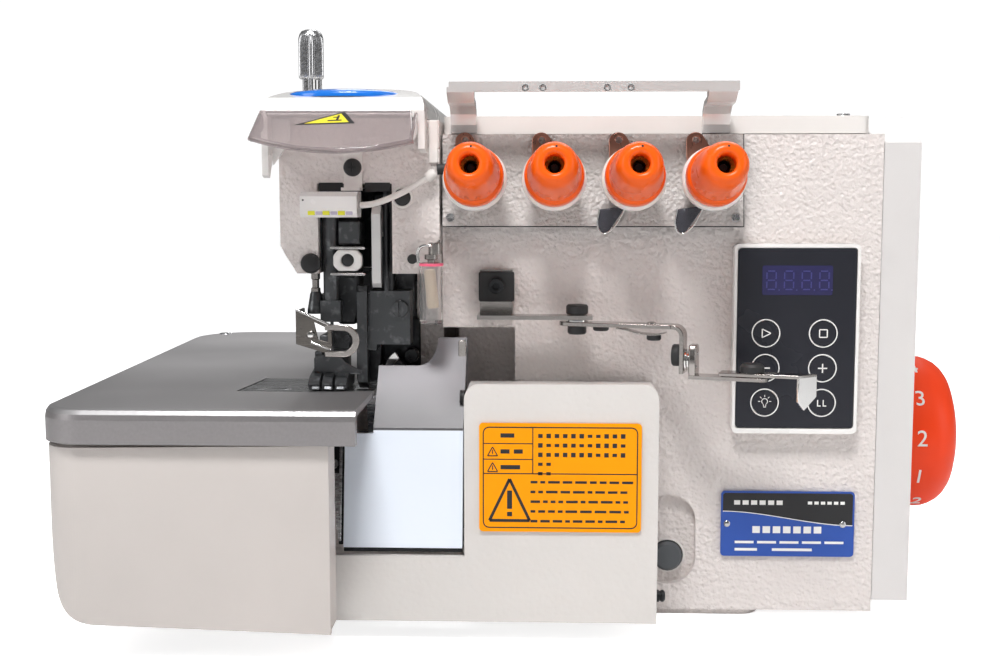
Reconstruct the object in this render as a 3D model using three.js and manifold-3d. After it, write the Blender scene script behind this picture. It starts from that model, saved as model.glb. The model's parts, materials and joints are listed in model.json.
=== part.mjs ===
// Serger overlock machine: one Group with one named Mesh for every separate piece.
// Millimetres. +X is the operator's right, +Y points away from the operator, +Z is up.
// The origin is the centre of the base's underside.
import * as THREE from 'three';
import { mergeVertices } from 'three/addons/utils/BufferGeometryUtils.js';
import Module from 'manifold-3d';

const wasm = await Module();
wasm.setup();

// ---------------------------------------------------------------- driving dimensions

const GAP = 0.3;
const BODY = { left: -54, right: 119.5, front: -95, back: 95, bottom: 2.5, top: 194.3, wall: 4 };
const BED = { left: -120, front: -74, back: 90, top: 81 };
const COLUMN = { left: -66, front: -78, back: 90, top: 139.5 };
const ARM = { left: -117.2, right: -54.4, front: -105, back: 40, bottom: 139.8, top: 199.5 };
const HEAD_COVER = { left: -121.3, right: -58.9, front: -117, back: 46, top: 214.2, wall: 2.5 };
const PLATE = {
  top: 94.1, sheet: 2.5, skirtBottom: 81.4, front: -157, back: 113.5, right: -80.2, bulge: 3,
  backRadius: 28, frontRadius: 15,
};
const SIDE_COVER = { left: -196.4, right: -90.4, front: -157, back: 60, low: 11.1, radius: 14, wall: 2.5 };
const SWING = { x: -112, y: 92 };
const THROAT = { inner: 170, outer: 205.5, left: -95.8, right: -80, slack: 0.5 };
const COVER = { left: -43.3, right: 29.9, front: -131, back: -97.5, top: 100, bottom: 7.7, wall: 2.5 };
const STRIP = { left: -95.5, top: 33.5 };
const COVER_HINGE = { y: -121, z: 16, radius: 2.4, bore: 2.9 };
const NEEDLE = { x: -98, y: -100 };
const SHAFT = { y: 12, z: 58, radius: 7 };
const TENSION = { firstX: -39.7, pitch: 30, count: 4, z: 174, y: -101.6, lean: 8 };
const PANEL = { left: 61.2, right: 110.3, low: 76.4, high: 151.5, front: -101 };
const KEYS = { columns: [74, 96.4], rows: [116.4, 102.6, 88.8], radius: 4.9, hole: 5.15 };
const BUTTON = { x: 37.3, z: 24, radius: 6 };
const PRESSER_PIVOT = { y: -36, z: 127, radius: 3 };
const GUIDE_PIVOT = { x: -0.5, y: -108, angle: -16.5 };
const PRESSURE = { x: -111.2, y: -65 };
const GUARD_HINGE = { y: -118.6, z: 201.2, slope: 31 };
const END_COVER = {
  lip: 115.6, right: 134.2, front: -94.5, back: 93, bottom: 7, top: 202, wall: 3, leanRun: 22.5, leanDrop: 11,
};

const MERGE_TOLERANCE = 1e-4;
const FINE = 10;
const COARSE = 4;

// ---------------------------------------------------------------- solids from three.js geometry

function signedVolume(position, corners) {
  const a = new THREE.Vector3();
  const b = new THREE.Vector3();
  const c = new THREE.Vector3();
  let volume = 0;
  for (let i = 0; i < corners.length; i += 3) {
    a.fromBufferAttribute(position, corners[i]);
    b.fromBufferAttribute(position, corners[i + 1]);
    c.fromBufferAttribute(position, corners[i + 2]);
    volume += a.dot(b.cross(c)) / 6;
  }
  return volume;
}

// A closed geometry as a solid: shared corners merged, empty triangles dropped, faces turned out.
function solidOf(geometry) {
  const bare = geometry.clone();
  bare.deleteAttribute('normal');
  bare.deleteAttribute('uv');
  const merged = mergeVertices(bare, MERGE_TOLERANCE);
  const position = merged.getAttribute('position');
  const index = merged.index.array;
  const corners = [];
  for (let i = 0; i < index.length; i += 3) {
    const [a, b, c] = [index[i], index[i + 1], index[i + 2]];
    if (a !== b && b !== c && c !== a) corners.push(a, b, c);
  }
  if (signedVolume(position, corners) < 0) corners.reverse();
  const vertProperties = new Float32Array(position.array);
  const triVerts = new Uint32Array(corners);
  return new wasm.Manifold(new wasm.Mesh({ numProp: 3, vertProperties, triVerts }));
}

function geometryOf(solid) {
  const { numProp, vertProperties, triVerts } = solid.getMesh();
  const geometry = new THREE.BufferGeometry();
  const buffer = new THREE.InterleavedBuffer(vertProperties, numProp);
  const position = new Float32Array(buffer.count * 3);
  const corner = new THREE.InterleavedBufferAttribute(buffer, 3, 0);
  for (let i = 0; i < buffer.count; i++) {
    position.set([corner.getX(i), corner.getY(i), corner.getZ(i)], i * 3);
  }
  geometry.setAttribute('position', new THREE.BufferAttribute(position, 3));
  geometry.setIndex(new THREE.BufferAttribute(new Uint32Array(triVerts), 1));
  geometry.computeVertexNormals();
  return geometry;
}

function union(...solids) {
  return solids.reduce((whole, piece) => whole.add(piece));
}

function cut(solid, ...tools) {
  return tools.reduce((rest, tool) => rest.subtract(tool), solid);
}

function block(x0, x1, y0, y1, z0, z1) {
  const geometry = new THREE.BoxGeometry(x1 - x0, y1 - y0, z1 - z0);
  geometry.translate((x0 + x1) / 2, (y0 + y1) / 2, (z0 + z1) / 2);
  return solidOf(geometry);
}

function polygon(points) {
  return new THREE.Shape(points.map(([a, b]) => new THREE.Vector2(a, b)));
}

function roundedRectangle(left, right, low, high, radius) {
  const shape = new THREE.Shape();
  const quarter = Math.PI / 2;
  shape.absarc(right - radius, low + radius, radius, -quarter, 0, false);
  shape.absarc(right - radius, high - radius, radius, 0, quarter, false);
  shape.absarc(left + radius, high - radius, radius, quarter, 2 * quarter, false);
  shape.absarc(left + radius, low + radius, radius, 2 * quarter, 3 * quarter, false);
  return shape;
}

function extruded(shape, depth, curveSegments) {
  return new THREE.ExtrudeGeometry(shape, { depth, bevelEnabled: false, curveSegments });
}

// The shape's axes are X and Y.
function alongZ(shape, low, high, curveSegments = FINE) {
  const geometry = extruded(shape, high - low, curveSegments);
  geometry.translate(0, 0, low);
  return solidOf(geometry);
}

// The shape's axes are X and Z.
function alongY(shape, front, back, curveSegments = FINE) {
  const geometry = extruded(shape, back - front, curveSegments);
  geometry.rotateX(Math.PI / 2);
  geometry.translate(0, back, 0);
  return solidOf(geometry);
}

// The shape's axes are Y and Z.
function alongX(shape, left, right, curveSegments = FINE) {
  const geometry = extruded(shape, right - left, curveSegments);
  const turn = new THREE.Matrix4().makeBasis(
    new THREE.Vector3(0, 1, 0),
    new THREE.Vector3(0, 0, 1),
    new THREE.Vector3(1, 0, 0),
  );
  geometry.applyMatrix4(turn);
  geometry.translate(left, 0, 0);
  return solidOf(geometry);
}

// Stands a geometry whose own axis is Y on a base point, pointing along a direction.
function placedAlong(geometry, base, direction) {
  const up = new THREE.Vector3(0, 1, 0);
  const turn = new THREE.Quaternion().setFromUnitVectors(up, direction.clone().normalize());
  geometry.applyQuaternion(turn);
  geometry.translate(base.x, base.y, base.z);
  return solidOf(geometry);
}

function rod(from, to, radius, sides = 16) {
  const start = new THREE.Vector3(...from);
  const direction = new THREE.Vector3(...to).sub(start);
  const length = direction.length();
  const geometry = new THREE.CylinderGeometry(radius, radius, length, sides);
  geometry.translate(0, length / 2, 0);
  return placedAlong(geometry, start, direction);
}

// A turned piece: profile points are [radius, distance along the axis].
function turned(profile, from, direction, sides = 24) {
  const points = profile.map(([radius, distance]) => new THREE.Vector2(radius, distance));
  const geometry = new THREE.LatheGeometry(points, sides);
  return placedAlong(geometry, new THREE.Vector3(...from), new THREE.Vector3(...direction));
}

// ---------------------------------------------------------------- frame and covers

function hingeBore(left, right) {
  const { y, z, bore } = COVER_HINGE;
  return rod([left, y, z], [right, y, z], bore, 12);
}

function castingCavity() {
  const { left, right, front, back, bottom, top, wall } = BODY;
  const floor = bottom + wall;
  const main = block(left + wall, right - wall, front + wall, back + 1, floor, top - wall);
  const looperPocketWalls = block(-51, -21, -92, -68, 26, 122);
  const buttonBoss = block(22, 52, -92, -80, 10, 54);
  const join = left + wall + 1;
  const bed = block(BED.left + wall, join, BED.front + wall, BED.back - wall, floor, BED.top - wall);
  const column = block(COLUMN.left + wall, join, COLUMN.front + wall, 86, 70, COLUMN.top - wall);
  const hatch = block(-30, 100, -60, 75, top - wall - 1, top + 1);
  return union(cut(main, looperPocketWalls, buttonBoss), bed, column, hatch);
}

function buttonScoop() {
  const shape = new THREE.Shape();
  const radius = 11;
  shape.absarc(BUTTON.x, BUTTON.z, radius, Math.PI, 2 * Math.PI, false);
  shape.absarc(BUTTON.x, BUTTON.z + 15, radius, 0, Math.PI, false);
  return alongY(shape, BODY.front - 1, BODY.front + 3.5);
}

function mainCasting() {
  const { left, right, front, back, bottom, top } = BODY;
  const column = block(COLUMN.left, left + 1, COLUMN.front, COLUMN.back, bottom, COLUMN.top);
  const bed = block(BED.left, left + 1, BED.front, BED.back, bottom, BED.top);
  const shell = union(block(left, right, front, back, bottom, top), column, bed);
  const looperPocket = block(left - 1, -25, front - 1, -72, 30, 117.8);
  const buttonHole = rod([BUTTON.x, front, BUTTON.z], [BUTTON.x, -79, BUTTON.z], BUTTON.radius + 0.5, 20);
  const shaftHole = rod([right - 6, SHAFT.y, SHAFT.z], [right + 1, SHAFT.y, SHAFT.z], 12.4, 24);
  const hollow = cut(shell, castingCavity(), looperPocket, buttonScoop(), buttonHole, shaftHole);
  const lugs = [-30, 13].map((x) => block(x, x + 8, -125.5, front + 1, 11, 21));
  const swingPost = rod([SWING.x, SWING.y - 8, BED.top - 2], [SWING.x, SWING.y - 8, 91], 5);
  const throatSupport = block(-130, -110, -110, -60, 76, 91.3);
  const knifeSupport = block(-83.6, -80.2, -92, BED.front + 1, 60, 80);
  const { y, z, radius } = PRESSER_PIVOT;
  const presserShaft = rod([-79, y, z], [-63, y, z], radius);
  const whole = union(hollow, ...lugs, swingPost, throatSupport, knifeSupport, presserShaft);
  return cut(whole, hingeBore(-32, 24));
}

function oilPan() {
  return alongZ(roundedRectangle(-118, 75, -93, 88, 8), 0, 2.2, COARSE);
}

function rearCover() {
  return alongY(roundedRectangle(-48, 112, 12, 186, 8), BODY.back + GAP, BODY.back + 2.3);
}

function topCover() {
  const outer = alongZ(roundedRectangle(-53.5, 114.3, -94.6, 92, 5), BODY.top + GAP, 201.5);
  return cut(outer, block(-50, 111.3, -91, 89, BODY.top, 199));
}

// The front edge of the end cover leans back to its top, and the top reaches over the casting.
function endCover() {
  const { lip, right, front, back, bottom, top, wall, leanRun, leanDrop } = END_COVER;
  const left = BODY.right + GAP;
  const profile = polygon([
    [front, bottom], [back, bottom], [back, top], [front + leanRun, top], [front, top - leanDrop],
  ]);
  const ceiling = top - wall - 1;
  const hollow = polygon([
    [front + wall, bottom + wall], [back - wall, bottom + wall], [back - wall, ceiling],
    [front + leanRun + 1.5, ceiling], [front + wall, top - leanDrop - wall],
  ]);
  const underLip = block(lip - 1, left, front - 1, back + 1, bottom - 1, BODY.top + GAP);
  const shaftHole = rod([right - 5, SHAFT.y, SHAFT.z], [right + 1, SHAFT.y, SHAFT.z], 22, 32);
  const shell = cut(alongX(profile, lip, right), alongX(hollow, left - 1, right - wall), underLip);
  return cut(shell, shaftHole);
}

function armCasting() {
  const { left, right, front, back, bottom, top } = ARM;
  const outline = polygon([
    [left + 6.5, bottom], [right, bottom], [right, top], [left + 3, top], [left, top - 4],
    [left, bottom + 11], [left + 2, bottom + 7.2],
  ]);
  const pocket = block(-102.2, -73, front - 1, -58, bottom - 1, 175);
  const topHollow = block(left + 5, right - 5, front + 4, back - 6, 180, top + 1);
  const barHole = rod([NEEDLE.x, NEEDLE.y, 174], [NEEDLE.x, NEEDLE.y, ARM.top + 1], 3.7);
  return cut(alongY(outline, front, back), pocket, topHollow, barHole);
}

// The head cover's arched outline from the front, with a wide shoulder on the right.
function crown(inset) {
  const left = HEAD_COVER.left + inset;
  const right = HEAD_COVER.right - inset;
  const top = HEAD_COVER.top - inset;
  const shape = new THREE.Shape();
  shape.moveTo(left, ARM.bottom);
  shape.lineTo(right, ARM.bottom);
  shape.lineTo(right, top - 13);
  shape.quadraticCurveTo(right, top - 2.4, right - 12, top - 1.4);
  shape.quadraticCurveTo((left + right) / 2, top + 1, left + 10, top - 1.6);
  shape.quadraticCurveTo(left, top - 2.2, left, top - 9);
  return shape;
}

function headCover() {
  const { left, right, front, back, top, wall } = HEAD_COVER;
  const seat = ARM.top + 0.4;
  const outer = polygon([
    [front, seat], [front, 202.5], [-113, 205.5], [-108, 208], [-80, top - 0.8], [-60, top],
    [20, top - 1.2], [back - 4, 209], [back, seat],
  ]);
  const inner = polygon([
    [front + wall, seat - 1], [front + wall, 201.5], [-110, 205.1], [-80, top - wall - 0.8],
    [-60, top - wall], [20, top - wall - 1.2], [back - 6, 206.9], [back - 3, seat - 1],
  ]);
  const archSteps = 6;
  const outerArch = alongY(crown(0), front - 1, back + 4, archSteps);
  const innerArch = alongY(crown(wall), front - 1, back + 4, archSteps);
  const outside = alongX(outer, left, right).intersect(outerArch);
  const inside = alongX(inner, left + wall, right - wall).intersect(innerArch);
  const cap = cut(outside, inside);
  const leftEar = polygon([[front, 201], [front, 178], [-114, 177], [-97, 201]]);
  const rightEar = polygon([[front, 201], [front, 188], [-106, 186.8], [-106, 201]]);
  const ears = union(alongX(leftEar, left, left + wall), alongX(rightEar, right - wall, right));
  const knobHole = rod([PRESSURE.x, PRESSURE.y, 205], [PRESSURE.x, PRESSURE.y, 220], 4.5);
  return cut(cap.add(ears), knobHole);
}

// An oval plate on the sloping front of the head cover.
function headBadge() {
  const shape = new THREE.Shape();
  shape.absellipse(0, 0, 22, 12.5, 0, 2 * Math.PI, false, 0);
  const geometry = extruded(shape, 0.8, 12);
  geometry.rotateX(Math.atan2(5.4, 28));
  geometry.translate(-92.8, -94, 210.7 + GAP + 0.1);
  return solidOf(geometry);
}

function eyeGuard() {
  const shape = new THREE.Shape();
  shape.moveTo(-120.5, -1);
  shape.lineTo(-121.7, -20.4);
  shape.quadraticCurveTo(-90, -38.5, -61, -23.5);
  shape.lineTo(-62.2, -1);
  const geometry = extruded(shape, 1.6, FINE);
  geometry.rotateX(THREE.MathUtils.degToRad(GUARD_HINGE.slope));
  geometry.translate(0, GUARD_HINGE.y, GUARD_HINGE.z);
  return solidOf(geometry);
}

// ---------------------------------------------------------------- looper cover and side cover

function looperCoverOutline(inset, bottom) {
  const { left, right, top } = COVER;
  const radius = 6 - inset;
  const shape = new THREE.Shape();
  shape.moveTo(STRIP.left - inset, bottom);
  shape.lineTo(right - inset, bottom);
  shape.absarc(right - inset - radius, top - inset - radius, radius, 0, Math.PI / 2, false);
  shape.absarc(left + inset + radius, top - inset - radius, radius, Math.PI / 2, Math.PI, false);
  shape.lineTo(left + inset, STRIP.top);
  shape.lineTo(STRIP.left - inset, STRIP.top);
  return shape;
}

// The space above the cover's top, which falls away towards the back.
function aboveLooperCover(inset) {
  const { right, front, back, top } = COVER;
  const slope = polygon([
    [front - 1, top - inset], [back + 2, top - inset - 3.8], [back + 2, top + 1], [front - 1, top + 1],
  ]);
  return alongX(slope, STRIP.left - 1, right + 1);
}

function looperCover() {
  const { left, right, front, back, bottom, wall } = COVER;
  const outer = cut(alongY(looperCoverOutline(0, bottom), front, back), aboveLooperCover(0));
  const hollow = alongY(looperCoverOutline(wall, bottom - 1), front + wall, back + 1);
  const inner = cut(hollow, aboveLooperCover(wall));
  const behindStrip = block(STRIP.left - 1, left, front + wall, back + 1, bottom - 1, STRIP.top + 1);
  const lowerSlope = polygon([[front - 1, 38], [front - 1, 0], [front + 1, bottom], [front, 38]]);
  const shell = cut(outer, inner, behindStrip, alongX(lowerSlope, STRIP.left - 1, right + 1));
  const barrels = [block(-12, -4, -129.4, -117, 12, 20), block(23, 28, -129.4, -117, 12, 20)];
  return cut(union(shell, ...barrels), hingeBore(-14, right + 1));
}

function coverHingeShaft() {
  const { y, z, radius } = COVER_HINGE;
  return rod([-35, y, z], [31.4, y, z], radius, 12);
}

function warningLabel() {
  const shape = roundedRectangle(-37.6, 23.5, 43.7, 85.3, 1.5);
  return alongY(shape, COVER.front - 0.6 - GAP, COVER.front - GAP, COARSE);
}

// The side cover from the front: its top and bottom edges slant, and its left side curves under.
function sideCoverFront() {
  const { left, right, low } = SIDE_COVER;
  const shape = new THREE.Shape();
  shape.moveTo(right, low);
  shape.lineTo(right, 80.9);
  shape.lineTo(left, 79.4);
  shape.quadraticCurveTo(left + 0.4, 46, left + 3.6, 27.8);
  shape.quadraticCurveTo(left + 5.8, 15, left + 18.4, 13.8);
  return shape;
}

// The space inside the cover, which is open above, below and to the right.
function sideCoverHollow() {
  const left = SIDE_COVER.left + SIDE_COVER.wall;
  const right = SIDE_COVER.right + 20;
  const shape = new THREE.Shape();
  shape.moveTo(right, 0);
  shape.lineTo(right, 90);
  shape.lineTo(left, 90);
  shape.lineTo(left, 79.4);
  shape.quadraticCurveTo(left + 0.4, 46, left + 3.6, 27.8);
  shape.quadraticCurveTo(left + 5.8, 16.5, left + 18.4, 15.5);
  shape.lineTo(left + 18.4, 0);
  return shape;
}

function sideCoverPlan(inset) {
  const radius = SIDE_COVER.radius - inset;
  const left = SIDE_COVER.left + inset;
  const front = SIDE_COVER.front + inset;
  const back = SIDE_COVER.back + inset;
  const shape = new THREE.Shape();
  shape.moveTo(-70, front);
  shape.lineTo(-70, back);
  shape.lineTo(left, back);
  shape.absarc(left + radius, front + radius, radius, Math.PI, 1.5 * Math.PI, false);
  return shape;
}

function sideCover() {
  const { right, front, back, wall } = SIDE_COVER;
  const outer = alongY(sideCoverFront(), front, back).intersect(alongZ(sideCoverPlan(0), 0, 90));
  const hollow = alongY(sideCoverHollow(), front + wall, back + 2);
  const inner = hollow.intersect(alongZ(sideCoverPlan(wall), -1, 95));
  const returnLip = block(right - wall, right, front + 1, front + 13, 12.4, 79.8);
  return cut(outer, inner).add(returnLip);
}

// ---------------------------------------------------------------- cloth plate and throat plate

// A slice of a ring about the cloth plate's swing axis, so that the plate clears it as it swings.
function swingSector(inner, outer, fromDegrees, toDegrees) {
  const start = THREE.MathUtils.degToRad(fromDegrees);
  const end = THREE.MathUtils.degToRad(toDegrees);
  const shape = new THREE.Shape();
  shape.absarc(SWING.x, SWING.y, outer, start, end, false);
  shape.absarc(SWING.x, SWING.y, inner, end, start, true);
  return shape;
}

function clothPlateOutline(inset) {
  const right = inset ? PLATE.right + 10 : PLATE.right;
  const front = PLATE.front + inset;
  const back = PLATE.back - inset;
  const shape = new THREE.Shape();
  shape.moveTo(right, front);
  shape.lineTo(right, back);
  const { backRadius, frontRadius } = PLATE;
  shape.absarc(-175, PLATE.back - backRadius, backRadius - inset, Math.PI / 2, Math.PI, false);
  shape.absarc(-179.5, PLATE.front + frontRadius, frontRadius - inset, Math.PI, 1.5 * Math.PI, false);
  return shape;
}

// The plate as a solid slab whose sides round over from the flat top to a wider skirt.
function clothPlateSlab() {
  const { top, skirtBottom, bulge, right } = PLATE;
  const rise = 4;
  const depth = 16;
  const options = {
    depth, bevelThickness: rise, bevelSize: bulge, bevelSegments: 3, curveSegments: FINE,
  };
  const geometry = new THREE.ExtrudeGeometry(clothPlateOutline(0), options);
  geometry.translate(0, 0, top - depth - rise);
  const below = block(-220, right + 10, -180, 140, top - depth - 2 * rise - 1, skirtBottom);
  const beside = block(right, right + 10, -180, 140, skirtBottom - 1, top + 1);
  return cut(solidOf(geometry), below, beside);
}

function clothPlate() {
  const { top, sheet, skirtBottom } = PLATE;
  const { inner, outer, left, slack } = THROAT;
  const notch = swingSector(inner - slack, outer + slack, left - 0.3, -65);
  const tray = cut(
    clothPlateSlab(),
    alongZ(clothPlateOutline(1.5), skirtBottom - 1, top - sheet),
    alongZ(notch, skirtBottom - 1, top + 1),
  );
  const boss = rod([SWING.x, SWING.y - 8, skirtBottom], [SWING.x, SWING.y - 8, top - 1], 9, 20);
  const bore = rod([SWING.x, SWING.y - 8, skirtBottom - 1], [SWING.x, SWING.y - 8, top - sheet], 5.4, 20);
  return cut(tray.add(boss), bore);
}

function throatPlate() {
  const { top, sheet } = PLATE;
  const sector = alongZ(swingSector(THROAT.inner, THROAT.outer, THROAT.left, THROAT.right), top - sheet, top);
  const rightEdge = block(PLATE.right, PLATE.right + 20, -130, -60, 80, 100);
  const slots = [-104.5, -95.5].map((x) => block(x, x + 4, -109, -88, 80, 100));
  const needleHole = rod([NEEDLE.x, NEEDLE.y, 80], [NEEDLE.x, NEEDLE.y, 100], 1.8, 12);
  const knifeSlot = block(-89, PLATE.right + 1, -105.6, -92, 80, 100);
  return cut(sector, rightEdge, ...slots, needleHole, knifeSlot);
}

// A bent sheet that carries the trimmings down in front of the loopers.
function chipChute() {
  const sheet = 1.4;
  const profile = polygon([
    [-94, 113.5], [-120.8, 81.2], [-128.2, 36], [-128.2 + sheet, 36], [-120.8 + sheet, 80.8],
    [-94 + sheet, 112.8],
  ]);
  const flange = polygon([
    [-93, 113], [-120, 81], [-127.4, 36], [-122, 36], [-113, 76], [-88, 106], [-88, 112],
  ]);
  const upperLeft = block(-95, -79, -130, -85, 79, 120);
  const corner = new THREE.Shape();
  corner.moveTo(-80, 120);
  corner.lineTo(-80, 103);
  corner.lineTo(-63, 103);
  corner.quadraticCurveTo(-57, 103.5, -56, 112);
  corner.lineTo(-55.5, 120);
  const sheetPart = cut(alongX(profile, -90, -44.3), upperLeft, alongY(corner, -125, -85));
  return sheetPart.add(alongX(flange, -45.5, -44.3));
}

// ---------------------------------------------------------------- sewing mechanism

function needleBar() {
  const { x, y } = NEEDLE;
  const bar = rod([x, y, 128], [x, y, 192], 3.2);
  const clamp = block(x - 4, x + 4, y - 3.5, y + 3, 120.5, 129);
  const needle = rod([x, y, 103], [x, y, 121], 0.7, 8);
  return union(bar, clamp, needle);
}

function takeUpLever() {
  const blade = polygon([
    [-62, 146], [-61, 153], [-68, 157], [-90, 165], [-103, 166.5], [-106, 163], [-105.5, 136],
    [-103.5, 134.3], [-101.5, 136], [-100.5, 156], [-90, 156], [-70, 145],
  ]);
  return alongX(blade, -81, -77.5);
}

function lowerLooper() {
  const blade = polygon([
    [-99, 33], [-93, 33], [-92, 40], [-94.5, 60], [-93, 70], [-86, 74.5], [-95, 74], [-99, 69], [-99.5, 45],
  ]);
  return alongY(blade, -90, -86).add(rod([-96, -87, 38], [-96, BED.front - GAP, 38], 3.5, 12));
}

function upperLooper() {
  const blade = polygon([
    [-75, 36], [-68, 36], [-68, 44], [-85, 56], [-91, 67], [-98, 70], [-94, 64], [-87, 52], [-76, 43],
  ]);
  return alongY(blade, -99, -95).add(rod([-71.5, -96, 40], [-71.5, BED.front - GAP, 40], 3, 12));
}

function upperKnife() {
  const blade = polygon([
    [-100, 96], [-94, 93], [-94, 134.5], [-98, 134.5], [-100, 132],
  ]);
  return alongX(blade, -88, -84);
}

function lowerKnife() {
  return alongX(polygon([[-105.2, 88], [-104, 93.8], [-92.3, 93.8], [-92.3, 70], [-101, 70]]), -83.6, -80.2);
}

function feedDog() {
  const rails = [-104, -95].map((x) => block(x, x + 3, -106, -91, 82, 93.5));
  return union(...rails, block(-104, -92, -95, -91, 78, 86));
}

function presserArm() {
  const { y, z, radius } = PRESSER_PIVOT;
  const clampBlock = block(-83, -67, -98, -86, 111, 132.5);
  const lever = block(-75, -68.5, -87, y + 7, z - 5, z + 5);
  const finger = block(-101, -82, -92.5, -86, 109, 116);
  const footHolder = block(-101, -92, -94.5, -92, 109, 116);
  const bore = rod([-85, y, z], [-60, y, z], radius + 0.4);
  return cut(union(clampBlock, lever, finger, footHolder), bore);
}

function presserFoot() {
  const sole = alongX(polygon([
    [-114, 97], [-112, 94.6], [-91, 94.6], [-91, 98.5], [-100, 101.5], [-110, 99.5],
  ]), -105.5, -90.5);
  const shank = block(-101, -92, -96, -90, 97, 108.5);
  const toeGaps = [-101.2, -96.2].map((x) => block(x, x + 1.2, -115, -105, 94, 103));
  const needleSlot = block(NEEDLE.x - 1.6, NEEDLE.x + 1.6, NEEDLE.y - 4, NEEDLE.y + 5.2, 94, 103);
  return cut(union(sole, shank), ...toeGaps, needleSlot);
}

function footLiftLever() {
  const shape = new THREE.Shape();
  shape.absarc(-40, 165, 7, 0, Math.PI, false);
  shape.absarc(-42, 118, 5, Math.PI, 2 * Math.PI, false);
  return alongY(shape, BODY.back + 2.7, BODY.back + 5.2, COARSE);
}

function pressureKnob() {
  const profile = [
    [0, 206], [3.2, 206], [3.2, 214.6], [5, 215], [5, 217], [4, 217.4], [4, 218.4], [5.2, 219],
    [5.2, 237.4], [4.2, 239.2], [0, 239.2],
  ];
  return turned(profile, [PRESSURE.x, PRESSURE.y, 0], [0, 0, 1]);
}

// ---------------------------------------------------------------- main shaft, motor and handwheel

function mainShaft() {
  const profile = [
    [0, -38], [9, -38], [9, -30], [SHAFT.radius, -30], [SHAFT.radius, 82], [21, 82], [21, 110],
    [SHAFT.radius, 110], [SHAFT.radius, 149.7], [0, 149.7],
  ];
  return turned(profile, [0, SHAFT.y, SHAFT.z], [1, 0, 0], 20);
}

function shaftBearing() {
  const profile = [[7.4, 114.5], [12, 114.5], [12, 119.3], [7.4, 119.3], [7.4, 114.5]];
  return turned(profile, [0, SHAFT.y, SHAFT.z], [1, 0, 0]);
}

function motorStator() {
  const profile = [[22.5, 80], [34, 80], [34, 112], [22.5, 112], [22.5, 80]];
  return turned(profile, [0, SHAFT.y, SHAFT.z], [1, 0, 0]);
}

function handwheel() {
  const profile = [
    [0, 150], [SHAFT.radius + 0.3, 150], [SHAFT.radius + 0.3, 136.5], [20, 136.5], [20, 146.5],
    [33, 148.5], [35.6, 151], [36, 155], [36, 164], [35.4, 168.5], [33, 172.8], [29.5, 175.8],
    [25, 177.6], [17, 179.2], [0, 180],
  ];
  return turned(profile, [0, SHAFT.y, SHAFT.z], [1, 0, 0], 48);
}

// ---------------------------------------------------------------- thread tension row

function tensionDirection() {
  const lean = THREE.MathUtils.degToRad(TENSION.lean);
  return [0, -Math.cos(lean), Math.sin(lean)];
}

function tensionPlate() {
  const wedge = polygon([[-95.3, 158.5], [-103.5, 158.5], [-98.5, 194.3], [-95.3, 194.3]]);
  return alongX(wedge, -53.3, 64);
}

function tensionSeat(x) {
  const profile = [
    [0, 0.4], [12, 0.4], [12.2, 4], [11.6, 14], [11, 20.2], [4.5, 20.2], [2.6, 20.8], [2.6, 50], [0, 50],
  ];
  return turned(profile, [x, TENSION.y, TENSION.z], tensionDirection(), 24);
}

function tensionKnob(x) {
  const profile = [
    [3.3, 21.2], [10.6, 20.8], [11.2, 24], [11, 34], [10.3, 42], [9.4, 48], [8.7, 52.5], [7.4, 54.3],
    [4.4, 54.3], [3.3, 52.5], [3.3, 21.2],
  ];
  return turned(profile, [x, TENSION.y, TENSION.z], tensionDirection(), 28);
}

// A flat bar on two bent legs that stand against the front edge of the top cover.
function threadGuideBar() {
  const bar = block(-49.6, 59.6, -118, -111, 209.6, 213);
  const leg = polygon([
    [-118, 211], [-118, 209], [-112, 205.5], [-103, 204.8], [-98.5, 202], [-97.2, 198], [-97.2, 194.8],
    [-95.4, 194.8], [-95.4, 198.6], [-97, 203.4], [-102, 206.6], [-111, 207.6], [-111, 211],
  ]);
  return union(bar, alongX(leg, -50.4, -40.2), alongX(leg, 48.2, 59));
}

// ---------------------------------------------------------------- control panel and small fittings

function keyCentres() {
  return KEYS.rows.flatMap((z) => KEYS.columns.map((x) => ({ x, z })));
}

function keyHoles(front, back) {
  return keyCentres().map(({ x, z }) => rod([x, front, z], [x, back, z], KEYS.hole, 20));
}

function panelHousing() {
  const { left, right, low, high, front } = PANEL;
  const bezel = alongY(roundedRectangle(left, right, low, high, 2), front, BODY.front - GAP, COARSE);
  const window = roundedRectangle(left + 1.2, right - 1.2, low + 2, high - 1.4, 1.5);
  const pocket = alongY(window, front - 1, front + 1.7, COARSE);
  return cut(bezel, pocket, ...keyHoles(front, front + 3.8));
}

function panelFace() {
  const { left, right, low, high, front } = PANEL;
  const shape = roundedRectangle(left + 1.5, right - 1.5, low + 2.4, high - 1.8, 1.2);
  return cut(alongY(shape, front + 0.1, front + 1.4, COARSE), ...keyHoles(front - 1, front + 2));
}

function panelKey({ x, z }) {
  return rod([x, PANEL.front - 0.2, z], [x, PANEL.front + 3, z], KEYS.radius, 20);
}

function nameplate() {
  return alongY(roundedRectangle(58.3, 111.7, 25.2, 51.9, 1.5), BODY.front - 1.2, BODY.front - GAP, COARSE);
}

function stitchButton() {
  const { x, z, radius } = BUTTON;
  const profile = [[0, 0], [radius - 1, 0], [radius, 1], [radius, 11], [0, 11]];
  return turned(profile, [x, BODY.front + 0.5, z], [0, 1, 0], 20);
}

function ledBracket() {
  const back = ARM.front - GAP;
  const strap = alongY(roundedRectangle(-91.5, -84.4, 172.2, 188, 1), ARM.front - 1.8, back, COARSE);
  return strap.add(block(-91.5, -84.4, -114, back, 172.2, 173.4));
}

function ledHousing() {
  const profile = polygon([
    [-119, 163.5], [-117, 162], [-107, 162], [-107, 171.8], [-116, 171.8], [-119, 170],
  ]);
  return alongX(profile, -106.6, -84.8);
}

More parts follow.
